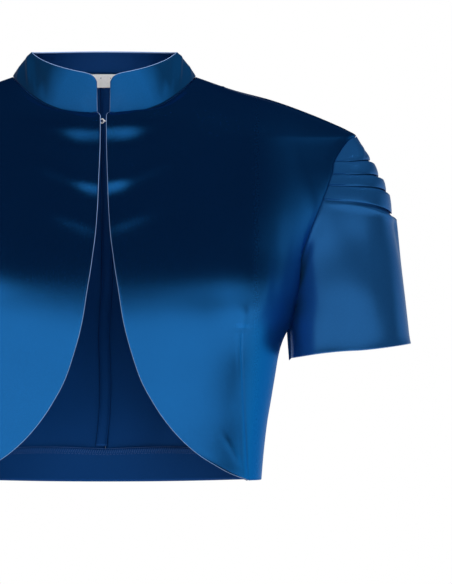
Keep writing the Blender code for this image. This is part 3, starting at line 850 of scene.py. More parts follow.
def out_of_seam(row):
    """Keeps the ends of a row a seam's width away from the armhole."""
    row = row.copy()
    for end, beside in ((0, 2), (-1, -3)):
        row[end] += unit(row[beside] - row[end]) * SLEEVE_OUT_OF_SEAM
    return row


def pleat_lines(above, edge, shares, folds):
    """The lines of a pleat: round its fold edge, up under the tier above and down again."""
    up = unit(above - edge)
    inward = unit(np.cross(np.gradient(edge, axis=0), up))
    middle = np.array([edge[:, 0].min(), 0.0, 0.0])
    if ((middle - edge) * inward)[:, :2].sum() < 0:
        inward = -inward
    fade = (1 - shares ** PLEAT_END_POWER)[:, None]
    strength = PLEAT_END_SHARE + (1 - PLEAT_END_SHARE) * fade
    lines = []
    for line in PLEAT_LINES:
        depth = line.inward * folds.pleat_depth / MM
        rise = line.up * (folds.pleat_overlap / MM if line.up > 0 else 1.0)
        lines.append(edge + (inward * depth + up * rise) * strength)
    return lines


def rows_between(rows, step):
    """Close rows through the given ones, which never swing past them, and where each given one starts."""
    rows = np.array(rows)
    gaps = np.linalg.norm(np.diff(rows, axis=0), axis=-1).mean(axis=1)
    slopes = calm_slopes(np.diff(rows, axis=0) / gaps[:, None, None])
    result = []
    starts = []
    for i, gap in enumerate(gaps):
        starts.append(len(result))
        count = int(np.clip(round(gap / step), *SLEEVE_ROW_COUNTS))
        for t in np.arange(count) / count:
            result.append(smooth_between(rows[i], rows[i + 1], slopes[i], slopes[i + 1], gap, t))
    result.append(rows[-1])
    return np.array(result), starts


def fitted_to_armhole(grid):
    """Moves the sides of the sleeve onto the curve of the armhole, a seam's width away from it."""
    grid = grid.copy()
    columns = np.arange(grid.shape[1])
    for side, seam, beside in ((FRONT, 0, 3), (BACK, -1, -4)):
        edge = grid[:, seam]
        along_armhole = edge[:, 2] > UNDERARM_Z + 0.5
        z = np.clip(edge[:, 2], UNDERARM_Z, SHOULDER_TIP_Z)
        away = unit(grid[:, beside] - edge)
        move = armhole_points(side, z) + away * SLEEVE_OUT_OF_SEAM - edge
        move[~along_armhole] = 0.0
        from_seam = columns if seam == 0 else columns[::-1]
        fade = 1 - smooth_step(from_seam / SLEEVE_FIT_COLUMNS)
        grid += move[:, None] * fade[None, :, None]
    return grid


def sleeve_grid(folds, mirrored):
    """The left sleeve from the armhole to its opening, with its pleats and folds."""
    shares = np.linspace(0.0, 1.0, SLEEVE_HALF_COLUMNS + 1)
    whole_shares = np.abs(np.linspace(-1.0, 1.0, 2 * SLEEVE_HALF_COLUMNS + 1))
    top_z = SHOULDER_TIP_Z + (SLEEVE_TOP_Z - SHOULDER_TIP_Z) * shares ** 2
    top = joined(armhole_points(FRONT, top_z), armhole_points(BACK, top_z))
    rows = [top + np.array([SLEEVE_OUT_OF_SEAM, 0.0, -SLEEVE_OUT_OF_SEAM / 2])]
    plain = []
    for row in SLEEVE_ROWS:
        line = joined(sleeve_half_row(FRONT, row, shares), sleeve_half_row(BACK, row, shares))
        plain.append(line if row.seam_z in SLEEVE_INNER_X else out_of_seam(line))
    for i, row in enumerate(SLEEVE_ROWS):
        rows.append(plain[i])
        if row.pleat:
            rows += pleat_lines(plain[i - 1], plain[i], whole_shares, folds)
    grid, starts = rows_between(rows, SLEEVE_ROW_STEP)
    last_pleat = max(i for i, row in enumerate(SLEEVE_ROWS) if row.pleat)
    lower = starts[last_pleat + 2 - len(SLEEVE_ROWS)]
    grid[lower:] = smooth_inside(grid[lower:], SLEEVE_SMOOTHING)
    grid = fitted_to_armhole(grid)
    height = np.zeros(grid.shape[:2])
    rows_below = np.arange(len(grid)) - lower + PLEAT_BLEND_START
    below_pleats = smooth_step(rows_below / PLEAT_BLEND_ROWS)[:, None]
    for side, table, rows_part in (
            (FRONT, TIER_FOLDS, 1.0), (FRONT, SLEEVE_FRONT_FOLDS, below_pleats),
            (BACK, SLEEVE_BACK_FOLDS, below_pleats)):
        faces_side = smooth_step(side * grid[..., 1] / SLEEVE_SIDE_BLEND) * rows_part
        height += fold_heights(shifted(table, mirrored), grid[..., 0], grid[..., 2]) * faces_side
    height *= folds.strength * smooth_step((1 - whole_shares) / SLEEVE_SEAM_SHARE)[None, :]
    return grid + grid_normals(grid, SLEEVE_AXIS_X) * height[..., None]


def collar_top_y(x, depth):
    """Distance of the collar's top edge from the middle of the neck, along Y."""
    share = np.clip(x / COLLAR_TOP_HALF_WIDTH, 0.0, 1.0)
    return depth * (1 - share ** COLLAR_TOP_POWER) ** (1 / COLLAR_TOP_POWER)


def collar_lines():
    """Base and top line of the left half, from the front end round to the centre back."""
    fine = np.linspace(0.0, 1.0, COLLAR_SAMPLES)
    start = math.asin(COLLAR_FRONT_BASE_X / COLLAR_SIDE_X)
    x = COLLAR_SIDE_X * np.sin(start + (CENTRE_TURN - start) * fine)
    z = front_neck_z_at(x)
    front_base = torso_points(FRONT, z, turn_at(FRONT, x, z))
    share = (x - COLLAR_FRONT_BASE_X) / (COLLAR_SIDE_X - COLLAR_FRONT_BASE_X)
    top_x = COLLAR_FRONT_TOP_X + share * (COLLAR_TOP_HALF_WIDTH - COLLAR_FRONT_TOP_X)
    top_y = -collar_top_y(top_x, COLLAR_TOP_FRONT_DEPTH)
    front_top = np.stack([top_x, top_y, collar_top_z_at(top_x)], axis=-1)
    x = COLLAR_SIDE_X * np.cos(CENTRE_TURN * fine)
    z = back_neck_z_at(x)
    back_base = torso_points(BACK, z, turn_at(BACK, x, z))
    back_base[:, 0] = x
    share = x / COLLAR_SIDE_X
    top_x = COLLAR_TOP_HALF_WIDTH * share
    top_z = COLLAR_TOP_BACK_Z + (COLLAR_TOP_EDGE[-1].z - COLLAR_TOP_BACK_Z) * share ** 2
    back_top = np.stack([top_x, collar_top_y(top_x, COLLAR_TOP_BACK_DEPTH), top_z], axis=-1)
    base = np.concatenate([front_base, back_base[1:]])
    top = np.concatenate([front_top, back_top[1:]])
    along = (lengths(base) + lengths(top)) / 2
    places = np.linspace(0.0, along[-1], int(round(along[-1] / COLLAR_STEP)) + 1)
    base = np.stack([np.interp(places, along, column) for column in base.T], axis=1)
    top = np.stack([np.interp(places, along, column) for column in top.T], axis=1)
    for _ in range(COLLAR_SMOOTHING):
        top[1:-1] = top[1:-1] / 2 + (top[:-2] + top[2:]) / 4
    return base, top


def collar_half(folds, mirrored):
    """The left half of the collar, from its front end round to the centre back."""
    base, top = collar_lines()
    base = base + np.array([0.0, 0.0, COLLAR_BASE_LIFT])
    outward = unit(base * np.array([1.0, 1.0, 0.0]))
    shares = np.linspace(0.0, 1.0, COLLAR_COLUMNS + 1)[None, :, None]
    swell = COLLAR_SWELL * 4 * shares * (1 - shares)
    grid = base[:, None] + (top - base)[:, None] * shares + outward[:, None] * swell
    height = fold_heights(shifted(COLLAR_FOLDS, mirrored), grid[..., 0], grid[..., 2])
    in_front = smooth_step(-grid[..., 1] / COLLAR_FRONT_BLEND)
    height *= in_front * smooth_step(shares[..., 0] / COLLAR_BASE_SHARE) * folds.strength
    return grid + grid_normals(grid) * height[..., None]


def collar_grid(folds):
    """The whole collar, from its left front end round the back to its right one."""
    left = collar_half(folds, False)
    right = on_right(collar_half(folds, True))
    return np.concatenate([left, right[::-1][1:]])


def turn_up_grid():
    """The turned-up hem across the whole back, inside the panels, with its wavy upper edge."""
    sideways = np.linspace(-1.0, 1.0, 2 * TURN_UP_COLUMNS + 1)
    across = np.abs(sideways)
    sign = np.sign(sideways)
    turn = CENTRE_TURN + (TURN_UP_FIRST_TURN - CENTRE_TURN) * across
    wave = np.sin(across * TURN_UP_WAVES * 2 * math.pi)
    top_z = TURN_UP_TOP_Z + TURN_UP_WAVE * wave
    grid = []
    for share in np.linspace(0.0, 1.0, TURN_UP_ROWS + 1):
        z = HEM_Z + (top_z - HEM_Z) * share
        outside = torso_points(BACK, z, turn)
        outside[sign == 0, 0] = 0.0
        curl = TURN_UP_CURL * share ** 3 * (1 + np.sin(across * TURN_UP_RIPPLES))
        lifted = CAD_WALL + SEAM_GAP + curl
        line = outside - torso_normals(BACK, outside[:, 0], z) * lifted[:, None]
        line[:, 0] *= np.where(sign == 0, 1.0, sign)
        grid.append(line)
    return np.array(grid)


def allowance_grid():
    """The pressed-open allowance, slightly curled at its cut edges."""
    path = smooth_curve([(point.z, point.x) for point in ALLOWANCE_PATH])
    z = np.linspace(ALLOWANCE_PATH[-1].z, ALLOWANCE_PATH[0].z, ALLOWANCE_ROWS + 1)
    across = np.linspace(-1.0, 1.0, ALLOWANCE_COLUMNS + 1)
    x = path(z)[:, None] + ALLOWANCE_HALF_WIDTH * across[None, :]
    wave = ALLOWANCE_RIPPLE * np.sin(z / ALLOWANCE_RIPPLE_STEP)[:, None] * across[None, :] ** 2
    inward = CAD_WALL + SEAM_GAP + ALLOWANCE_CURL * across[None, :] ** 4 + np.abs(wave)
    heights = z[:, None] + 0 * x
    return inside_points(BACK, x, heights, inward[..., None])


def label_grid():
    """The blank label, which hangs straight down from the back neck seam."""
    neck_z = back_neck_z_at(0.0)
    x = np.linspace(-LABEL_HALF_WIDTH, LABEL_HALF_WIDTH, LABEL_COLUMNS + 1)
    share = np.linspace(0.0, 1.0, LABEL_ROWS + 1)
    heights = neck_z + 0 * x
    y = torso_points(BACK, heights, turn_at(BACK, np.abs(x), heights))[:, 1]
    curl = LABEL_CURL * share[:, None] * (x[None, :] / LABEL_HALF_WIDTH) ** 2
    y = y[None, :] - CAD_WALL - SEAM_GAP - curl
    z = LABEL_TOP_Z - LABEL_HEIGHT * share[:, None] + 0 * x[None, :]
    grid = np.stack([x[None, :] + 0 * z, y, z], axis=-1)
    return grid[::-1]


def at_edge(grid, which, change):
    """Applies a change that works on the first row to the named edge of the grid."""
    if which == "last row":
        return change(grid[::-1])[::-1]
    if which == "first column":
        return np.swapaxes(change(np.swapaxes(grid, 0, 1)), 0, 1)
    if which == "last column":
        turned = np.swapaxes(grid, 0, 1)[::-1]
        return np.swapaxes(change(turned)[::-1], 0, 1)
    return change(grid)


def add_sleeve_lips(grid):
    """Turns the sleeve's edges in along the armhole and underarm, behind the cloth of the body."""

    def change(turned):
        edge = turned[0]
        inward = -np.sign(edge[:, 1]) * smooth_step(np.abs(edge[:, 1]) / SLEEVE_LIP_BLEND)
        across = np.full(len(edge), -SLEEVE_LIP[0])
        down = -SLEEVE_LIP[2] * (1 - np.abs(inward))
        lip = edge + np.stack([across, inward * SLEEVE_LIP[1], down], axis=-1)
        return np.concatenate([lip[None], turned])

    for which in ("first column", "last column", "first row"):
        grid = at_edge(grid, which, change)
    return grid


def add_edge_line(grid, which, width, sink, axis_x=0.0):
    """Adds a narrow strip along one edge, rounded back like a pressed fold. Along free edges the strip
    carries the painted highlight.

    At a corner the cloth faces as it does three points further on.
    """

    def change(turned):
        normal = grid_normals(turned, axis_x)[0]
        normal[:3] = normal[3]
        normal[-3:] = normal[-4]
        step = turned[1] - turned[0]
        size = np.linalg.norm(step, axis=-1, keepdims=True)
        strip = turned[0] + step * np.minimum(width / size, 0.5)
        return np.concatenate([(turned[0] - normal * sink)[None], strip[None], turned[1:]])

    return at_edge(grid, which, change)


def add_seam_lip(grid, which, depth):
    """Turns the cloth in at a seam, as its allowance does."""

    def change(turned):
        lip = turned[0] - grid_normals(turned)[0] * depth
        return np.concatenate([lip[None], turned])

    return at_edge(grid, which, change)


def link(thing):
    """Puts the object in the scene."""
    bpy.context.scene.collection.objects.link(thing)
    return thing


def cloth_mesh(name, grid, axis_x, highlight_strips):
    """A mesh over the grid, faced away from the axis, with UVs in metres of cloth."""
    rows, columns = grid.shape[:2]
    points = (grid * MM).reshape(-1, 3)
    index = np.arange(rows * columns).reshape(rows, columns)
    faces = np.stack([index[:-1, :-1], index[:-1, 1:], index[1:, 1:], index[1:, :-1]], axis=-1)
    faces = faces.reshape(-1, 4)
    sides = points[faces]
    normal = np.cross(sides[:, 2] - sides[:, 0], sides[:, 3] - sides[:, 1])
    middle = sides.mean(axis=1)
    outward = normal[:, 0] * (middle[:, 0] - axis_x * MM) + normal[:, 1] * middle[:, 1]
    if outward.sum() < 0:
        faces = faces[:, ::-1]
    mesh = bpy.data.meshes.new(name)
    mesh.from_pydata(points.tolist(), [], faces.tolist())
    # Faces of the strips along free edges take the slot of the painted edge highlight
    marks = np.zeros((rows - 1, columns - 1), np.int32)
    for rows_part, columns_part in highlight_strips:
        marks[rows_part, columns_part] = EDGE_HIGHLIGHT_SLOT
    mesh.polygons.foreach_set("material_index", marks.ravel())
    across = np.linalg.norm(np.diff(grid, axis=1), axis=-1).mean(axis=0) * MM
    down = np.linalg.norm(np.diff(grid, axis=0), axis=-1).mean(axis=1) * MM
    u = np.concatenate([[0.0], np.cumsum(across)])
    v = np.concatenate([[0.0], np.cumsum(down)])
    places = np.stack(np.meshgrid(u, v), axis=-1).reshape(-1, 2)
    layer = mesh.uv_layers.new(name="cloth")
    layer.data.foreach_set("uv", places[faces.ravel()].ravel())
    return mesh


def merge_doubles(mesh):
    """Makes one point of those that lie on each other."""
    surface = bmesh.new()
    surface.from_mesh(mesh)
    bmesh.ops.remove_doubles(surface, verts=surface.verts, dist=MERGE_DISTANCE)
    surface.to_mesh(mesh)
    surface.free()


def cloth_piece(name, grid, wall, materials, axis_x=0.0, highlight_strips=()):
    """A finished cloth shell. The wall lies inside the given surface."""
    mesh = cloth_mesh(name, grid, axis_x, highlight_strips)
    merge_doubles(mesh)
    mesh.shade_smooth()
    for material in materials:
        mesh.materials.append(material)
    thing = link(bpy.data.objects.new(name, mesh))
    solidify = thing.modifiers.new("Wall", "SOLIDIFY")
    solidify.thickness = wall
    solidify.offset = -1.0
    solidify.material_offset = 1
    solidify.material_offset_rim = 0
    return thing


def declare(thing, node, cut, mirrored=False):
    """Rides the piece on the body and lets it stand for its CAD node.

    It works out the pieces that the cut rests on, for a mirrored piece those of the right half, but keeps
    them nowhere.
    """
    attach(thing, "root")
    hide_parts(node)
    rests_on = cut.rests_on
    if mirrored:
        rests_on = [name.replace("left", "right") for name in rests_on]


def fill_inputs(tree, node, inputs):
    """Sets inputs, by name or number, to plain values or links them to other sockets."""
    for key, value in inputs.items():
        if isinstance(value, bpy.types.NodeSocket):
            tree.links.new(value, node.inputs[key])
        else:
            node.inputs[key].default_value = value


def add_node(tree, kind, inputs=None, **properties):
    """A new node with its properties set and its inputs filled."""
    node = tree.nodes.new(kind)
    for name, value in properties.items():
        setattr(node, name, value)
    fill_inputs(tree, node, inputs or {})
    return node


def new_group(name, kind, inputs, outputs):
    """An empty group with its named sockets, given as (name, kind) pairs, and its two end nodes."""
    tree = bpy.data.node_groups.new(name, kind)
    for in_out, sockets in (("INPUT", inputs), ("OUTPUT", outputs)):
        for socket_name, socket_kind in sockets:
            tree.interface.new_socket(socket_name, in_out=in_out, socket_type="NodeSocket" + socket_kind)
    return tree, add_node(tree, "NodeGroupInput"), add_node(tree, "NodeGroupOutput")


def maths(tree, operation, *values):
    """The result of a maths node on sockets or numbers."""
    return add_node(tree, "ShaderNodeMath", dict(enumerate(values)), operation=operation).outputs[0]


def remapped(tree, value, low, high, from_low=0.3, from_high=0.7, **properties):
    """The value moved from one range to another. The usual first range is that of a noise."""
    ranges = {"From Min": from_low, "From Max": from_high, "To Min": low, "To Max": high}
    node = add_node(tree, "ShaderNodeMapRange", {"Value": value, **ranges}, **properties)
    return node.outputs["Result"]


def mixed_colour(tree, factor, first, second, **properties):
    """A mix of two colours, each a plain colour or a socket."""
    inputs = {"Factor": factor, MIX_FIRST: first, MIX_SECOND: second}
    return add_node(tree, "ShaderNodeMix", inputs, data_type="RGBA", **properties).outputs[MIX_RESULT]


def scaled_colour(colour, factor):
    """The colour made lighter or darker, as a solid one."""
    return (*(min(part * factor, 1.0) for part in colour), 1.0)


def blank_material(name):
    """A new material, its tree and its Principled shader."""
    material = bpy.data.materials.new(name)
    material.use_nodes = True
    return material, material.node_tree, material.node_tree.nodes["Principled BSDF"]


def weave_group():
    """Threads of a satin weave and the cloudy grain of the cloth, for every cloth material."""
    tree = bpy.data.node_groups.get("Satin weave")
    if tree:
        return tree
    inputs = [("Cloth place", "Vector"), ("Object place", "Vector"), ("Threads per metre", "Float"),
              ("Grain scale", "Float")]
    outputs = [("Threads", "Float"), ("Grain", "Float"), ("Cloud", "Float")]
    tree, entry, leave = new_group("Satin weave", "ShaderNodeTree", inputs, outputs)
    given = entry.outputs
    cloth = add_node(tree, "ShaderNodeSeparateXYZ", {0: given["Cloth place"]})
    turns = maths(tree, "MULTIPLY", given["Threads per metre"], 2 * math.pi)
    warp = maths(tree, "SINE", maths(tree, "MULTIPLY", cloth.outputs["X"], turns))
    weft = maths(tree, "SINE", maths(tree, "MULTIPLY", cloth.outputs["Y"], turns))
    ties = maths(tree, "MULTIPLY", maths(tree, "MULTIPLY", warp, weft), TIE_HEIGHT)
    threads = maths(tree, "ADD", maths(tree, "MULTIPLY", warp, WARP_HEIGHT), ties)
    fill_inputs(tree, leave, {"Threads": threads})
    for output, scale, detail in (("Grain", 1.0, 3.0), ("Cloud", CLOUD_SCALE, 2.0)):
        noise = add_node(tree, "ShaderNodeTexNoise", {
            "Vector": given["Object place"],
            "Scale": maths(tree, "MULTIPLY", given["Grain scale"], scale),
            "Detail": detail,
            "Roughness": 0.55,
        })
        fill_inputs(tree, leave, {output: noise.outputs[0]})
    return tree


def cloth_material(name, colour, roughness, metallic, threads, bump, variation=0.10, tint=WHITE,
                   side_shade=1.0, side_blur=0.0):
    """Woven cloth: grain in its colour and gloss, thread relief in its surface.

    Where it turns away from the view it is darkened by painted shade, to the given share of its colour.
    Towards the armholes and side seams, where it hangs loosely, side_blur is added to its roughness.
    """
    material, tree, shader = blank_material(name)
    place = add_node(tree, "ShaderNodeTexCoord").outputs
    weave = add_node(tree, "ShaderNodeGroup", {
        "Cloth place": place["UV"],
        "Object place": place["Object"],
        "Threads per metre": threads,
        "Grain scale": GRAIN_SCALE,
    }, node_tree=weave_group()).outputs
    grain = remapped(tree, weave["Grain"], 0.0, GRAIN_SHARE)
    cloud = remapped(tree, weave["Cloud"], 0.0, CLOUD_SHARE)
    darker = scaled_colour(colour, 1 - variation)
    lighter = scaled_colour(colour, 1 + variation)
    shown = mixed_colour(tree, maths(tree, "ADD", grain, cloud), darker, lighter)
    # Painted shade: the colour darkens where the cloth turns away from the view
    if side_shade < 1.0:
        facing = add_node(tree, "ShaderNodeLayerWeight").outputs["Facing"]
        shade = remapped(tree, facing, 1.0, side_shade, *PAINTED_SHADE_FACING)
        shown = mixed_colour(tree, 1.0, shown, shade, blend_type="MULTIPLY")
    blur = remapped(tree, weave["Grain"], roughness - GRAIN_ROUGHNESS, roughness + GRAIN_ROUGHNESS)
    if side_blur > 0.0:
        axes = add_node(tree, "ShaderNodeSeparateXYZ", {0: place["Object"]})
        sideways = maths(tree, "ABSOLUTE", axes.outputs["X"])
        blur = maths(tree, "ADD", blur, remapped(tree, sideways, 0.0, side_blur, *SIDE_BLUR_X))
    height = maths(tree, "ADD", weave["Threads"], maths(tree, "MULTIPLY", weave["Grain"], GRAIN_HEIGHT))
    relief = add_node(tree, "ShaderNodeBump", {
        "Strength": bump, "Distance": RELIEF_DISTANCE, "Height": height})
    fill_inputs(tree, shader, {
        "Base Color": shown,
        "Roughness": blur,
        "Metallic": metallic,
        "Specular Tint": tint,
        "Normal": relief.outputs["Normal"],
    })
    return material


def steel_material():
    """Bright steel wire with fine wear."""
    material, tree, shader = blank_material("steel wire")
    place = add_node(tree, "ShaderNodeTexCoord").outputs["Object"]
    wear = add_node(tree, "ShaderNodeTexNoise", {"Vector": place, "Scale": 2500.0, "Detail": 4.0}).outputs[0]
    fill_inputs(tree, shader, {
        "Base Color": mixed_colour(tree, remapped(tree, wear, 0.0, 1.0), WORN_STEEL, BRIGHT_STEEL),
        "Roughness": remapped(tree, wear, 0.25, 0.42),
        "Metallic": 0.4,
    })
    return material


def material_once(name, make):
    """The material with this name, made the first time it is asked for."""
    return bpy.data.materials.get(name) or make()


def shell_materials(cloth, kind):
    """Outside, wrong side and painted edge highlight of a piece of the jacket."""
    outside = OUTSIDES[kind]
    colour = getattr(cloth, outside.colour)
    roughness = cloth.roughness + outside.added_roughness
    gloss = cloth.gloss * outside.gloss_share
    tint = (*cloth.sheen_tint, 1.0)
    return [
        material_once(outside.name, lambda: cloth_material(
            outside.name, colour, roughness, gloss, SATIN_THREADS, bump=0.12, variation=0.09, tint=tint,
            side_shade=outside.side_shade, side_blur=outside.side_blur)),
        material_once("satin wrong side", lambda: cloth_material(
            "satin wrong side", cloth.inside_colour, roughness=0.5, metallic=0.6, threads=SATIN_THREADS,
            bump=0.2, variation=0.08, tint=tint)),
        # Painted highlight: a lighter colour along the pressed edges
        material_once("pressed edge", lambda: cloth_material(
            "pressed edge", cloth.edge_highlight_colour, roughness=0.4, metallic=0.2, threads=SATIN_THREADS,
            bump=0.2)),
    ]


def thread_material(stitches):
    """Twisted sewing thread of the overlock."""
    return material_once("sewing thread", lambda: cloth_material(
        "sewing thread", stitches.colour, roughness=0.45, metallic=0.1, threads=SEWING_THREADS, bump=0.8))


def length_setting(name, description, default, low, high):
    """A length that a user may change, shown to a tenth of a millimetre."""
    return bpy.props.FloatProperty(
        name=name, description=description, default=default, min=low, max=high, precision=4, unit="LENGTH")


def colour_setting(name, description, default):
    """A colour that a user may change."""
    return bpy.props.FloatVectorProperty(
        name=name, description=description, default=default, size=3, min=0.0, max=1.0, subtype="COLOR")


class JacketCloth(bpy.types.PropertyGroup):
    """Thickness, colours and gloss of the cloth."""

    wall: length_setting(
        "Cloth thickness", "Thickness of the satin with its backing",
        default=1.1 * MM, low=0.5 * MM, high=3 * MM)
    sleeve_wall: length_setting(
        "Sleeve thickness", "Thickness of the single satin of the sleeves",
        default=0.5 * MM, low=0.3 * MM, high=2 * MM)
    # Width of the edge strips, which along the free edges carry the painted highlight
    edge_line: length_setting(
        "Edge line", "Width of the pressed line along the free edges",
        default=0.4 * MM, low=0.1 * MM, high=3 * MM)
    satin_colour: colour_setting(
        "Satin", "Colour of the satin of the body",
        (0.012, 0.135, 0.400))
    # Painted shade: the body's satin colour darkened to about three quarters for the sleeves
    sleeve_colour: colour_setting(
        "Sleeve satin", "Colour of the satin of the sleeves",
        (0.014, 0.102, 0.295))
    # Painted shade: the body's satin colour darkened to about three fifths for the collar
    collar_colour: colour_setting(
        "Collar satin", "Colour of the backed satin of the collar",
        (0.006, 0.082, 0.248))
    sheen_tint: colour_setting(
        "Sheen tint", "Colour of what the threads mirror where they are seen edge on",
        (0.30, 0.55, 0.90))
    inside_colour: colour_setting(
        "Wrong side", "Colour of the dull inside of the cloth",
        (0.0023, 0.0405, 0.170))
    # Painted highlight: a lighter colour for the line of light on the rounded free edges
    edge_highlight_colour: colour_setting(
        "Pressed edge", "Colour of the shiny line along the free edges",
        (0.20, 0.30, 0.52))
    label_colour: colour_setting(
        "Label", "Colour of the blank woven label",
        (0.94, 0.93, 0.91))
    roughness: bpy.props.FloatProperty(
        name="Roughness", description="How far the satin blurs what it reflects",
        default=0.22, min=0.05, max=0.9, subtype="FACTOR")
    gloss: bpy.props.FloatProperty(
        name="Gloss", description="Share of the light that the satin reflects as a tinted mirror",
        default=0.97, min=0.0, max=1.0, subtype="FACTOR")


class JacketFolds(bpy.types.PropertyGroup):
    """Depth of the folds, pleats and darts."""

    strength: bpy.props.FloatProperty(
        name="Soft folds", description="Strength of the soft folds of the cloth",
        default=1.0, min=0.0, max=2.0, subtype="FACTOR")
    pleat_depth: length_setting(
        "Pleat depth", "How deep the cloth goes in under a pleat, for one layer",
        default=1.0 * MM, low=0.5 * MM, high=2 * MM)
    pleat_overlap: length_setting(
        "Pleat overlap", "How far the cloth goes up under a pleat, for one part",
        default=1.5 * MM, low=0.5 * MM, high=3 * MM)
    dart_depth: length_setting(
        "Dart depth", "Depth of the sewn line of the waist darts",
        default=0.35 * MM, low=0.0, high=1 * MM)


class JacketStitches(bpy.types.PropertyGroup):
    """Sewing thread and stitches."""

    spacing: length_setting(
        "Stitch spacing", "Distance from one overlock stitch to the next",
        default=1.7 * MM, low=0.5 * MM, high=6 * MM)
    reach: length_setting(
        "Overlock width", "Width of the overlocked band",
        default=5.0 * MM, low=1 * MM, high=10 * MM)
    thread: bpy.props.FloatProperty(
        name="Thread radius", description="Half the thickness of the sewing thread",
        default=0.24 * MM, min=0.1 * MM, max=1 * MM, precision=5, unit="LENGTH")
    slant: bpy.props.FloatProperty(
        name="Slant", description="Angle of the overlock stitches to the edge",
        default=math.radians(68), min=0.0, max=math.pi, subtype="ANGLE")
    seed: bpy.props.IntProperty(
        name="Seed", description="Seed of the small differences between stitches",
        default=7, min=0, max=10000)
    colour: colour_setting(
        "Thread", "Colour of the sewing thread",
        (0.014, 0.066, 0.225))
    label_thread_colour: colour_setting(
        "Label thread", "Colour of the thread at the ends of the label",
        (0.70, 0.68, 0.64))


class JacketStage(bpy.types.PropertyGroup):
    """Camera, floor and studio light."""

    camera_distance: bpy.props.FloatProperty(
        name="Camera distance", description="Distance of the camera in front of the jacket",
        default=9.0, min=1.0, max=30.0, unit="LENGTH")
    camera_x: length_setting(
        "Camera sideways", "Place of the camera along X",
        default=0.0943, low=-1.0, high=1.0)
    camera_z: length_setting(
        "Camera height", "Place of the camera along Z",
        default=-0.1666, low=-2.0, high=2.0)
    view_height: length_setting(
        "View height", "Height that the camera sees at the jacket",
        default=0.4526, low=0.1, high=5.0)
    floor_drop: bpy.props.FloatProperty(
        name="Floor drop", description="Distance of the floor below the hem",
        default=2.2, min=0.1, max=3.0, unit="LENGTH")
    floor_radius: bpy.props.FloatProperty(
        name="Floor radius", description="Radius of the round studio floor",
        default=3.0, min=1.0, max=20.0, unit="LENGTH")
    brightness: bpy.props.FloatProperty(
        name="Brightness", description="Strength of the low studio light that the satin mirrors",
        default=0.95, min=0.0, max=5.0)
    front_light: bpy.props.FloatProperty(
        name="Front light", description="Power of the soft light in front, which reaches the duller cloth",
        default=56.0, min=0.0, max=500.0, unit="POWER")
    side_light: bpy.props.FloatProperty(
        name="Side light", description="Power of the soft light above the left, which reaches the sleeves",
        default=260.0, min=0.0, max=500.0, unit="POWER")
    side_drop: bpy.props.FloatProperty(
        name="Side drop", description="How much lower the dark begins at the wearer's left, as a sine",
        default=0.43, min=0.0, max=2.0)
    bright_below: bpy.props.FloatProperty(
        name="Bright below", description="Height of a ray, as a sine, under which the studio is bright",
        default=-0.06, min=-1.0, max=1.0)
    dark_above: bpy.props.FloatProperty(
        name="Dark above", description="Height of a ray, as a sine, above which the studio is dark",
        default=0.31, min=-1.0, max=1.0)


def make_front(context, name, mirrored):
    """A satin front, with a painted highlight along its pressed free edge and hem."""
    cloth = context.scene.bolero_cloth
    grid, first_seam_row = front_grid(context.scene.bolero_folds, mirrored)
    line = cloth.edge_line / MM
    at_neck = np.arange(len(grid)) > first_seam_row
    grid = add_edge_line(grid, "first column", line, np.where(at_neck, NECK_ROLL, EDGE_ROLL)[:, None])
    grid = add_edge_line(grid, "first row", line, EDGE_ROLL)
    grid = add_seam_lip(grid, "last column", SEAM_LIP)
    grid = add_seam_lip(grid, "last row", SEAM_LIP)
    if mirrored:
        grid = on_right(grid)
    strips = [(slice(0, first_seam_row + 1), slice(0, 1)), (slice(0, 1), slice(None))]
    thing = cloth_piece("satin_" + name, grid, cloth.wall, shell_materials(cloth, "body"), 0.0, strips)
    declare(thing, name, CUTS["front"], mirrored)


def make_back(context, name, mirrored):
    """A satin back, with a painted highlight along its pressed hem."""
    cloth = context.scene.bolero_cloth
    grid = back_grid(context.scene.bolero_folds, mirrored)
    grid = add_edge_line(grid, "first row", cloth.edge_line / MM, EDGE_ROLL)
    grid = add_seam_lip(grid, "last column", SEAM_LIP)
    grid = add_seam_lip(grid, "last row", SEAM_LIP)
    if mirrored:
        grid = on_right(grid)
    strips = [(slice(0, 1), slice(None))]
    thing = cloth_piece("satin_" + name, grid, cloth.wall, shell_materials(cloth, "body"), 0.0, strips)
    declare(thing, name, CUTS["back"], mirrored)


def make_sleeve(context, name, mirrored):
    """A pleated sleeve, with a painted highlight round its pressed opening."""
    cloth = context.scene.bolero_cloth
    grid = sleeve_grid(context.scene.bolero_folds, mirrored)
    axis_x = SLEEVE_AXIS_X
    grid = add_edge_line(grid, "last row", cloth.edge_line / MM, EDGE_ROLL, axis_x)
    grid = add_sleeve_lips(grid)
    if mirrored:
        grid = on_right(grid)
        axis_x = -axis_x
    strips = [(slice(-1, None), slice(None))]
    materials = shell_materials(cloth, "sleeve")
    thing = cloth_piece("satin_" + name, grid, cloth.sleeve_wall, materials, axis_x, strips)
    declare(thing, name, CUTS["sleeve"], mirrored)


def make_collar(context):
    """The stand, with a painted highlight along its pressed top and its two front ends, and painted shade on
    its satin.
    """
    cloth = context.scene.bolero_cloth
    grid = collar_grid(context.scene.bolero_folds)
    for edge in ("last column", "first row", "last row"):
        grid = add_edge_line(grid, edge, cloth.edge_line / MM, EDGE_ROLL)
    grid = add_edge_line(grid, "first column", cloth.edge_line / MM, NECK_ROLL)
    every = slice(None)
    strips = [(every, slice(-1, None)), (slice(0, 1), every), (slice(-1, None), every)]
    thing = cloth_piece("satin_collar", grid, cloth.wall, shell_materials(cloth, "collar"), 0.0, strips)
    declare(thing, "collar", CUTS["collar"])


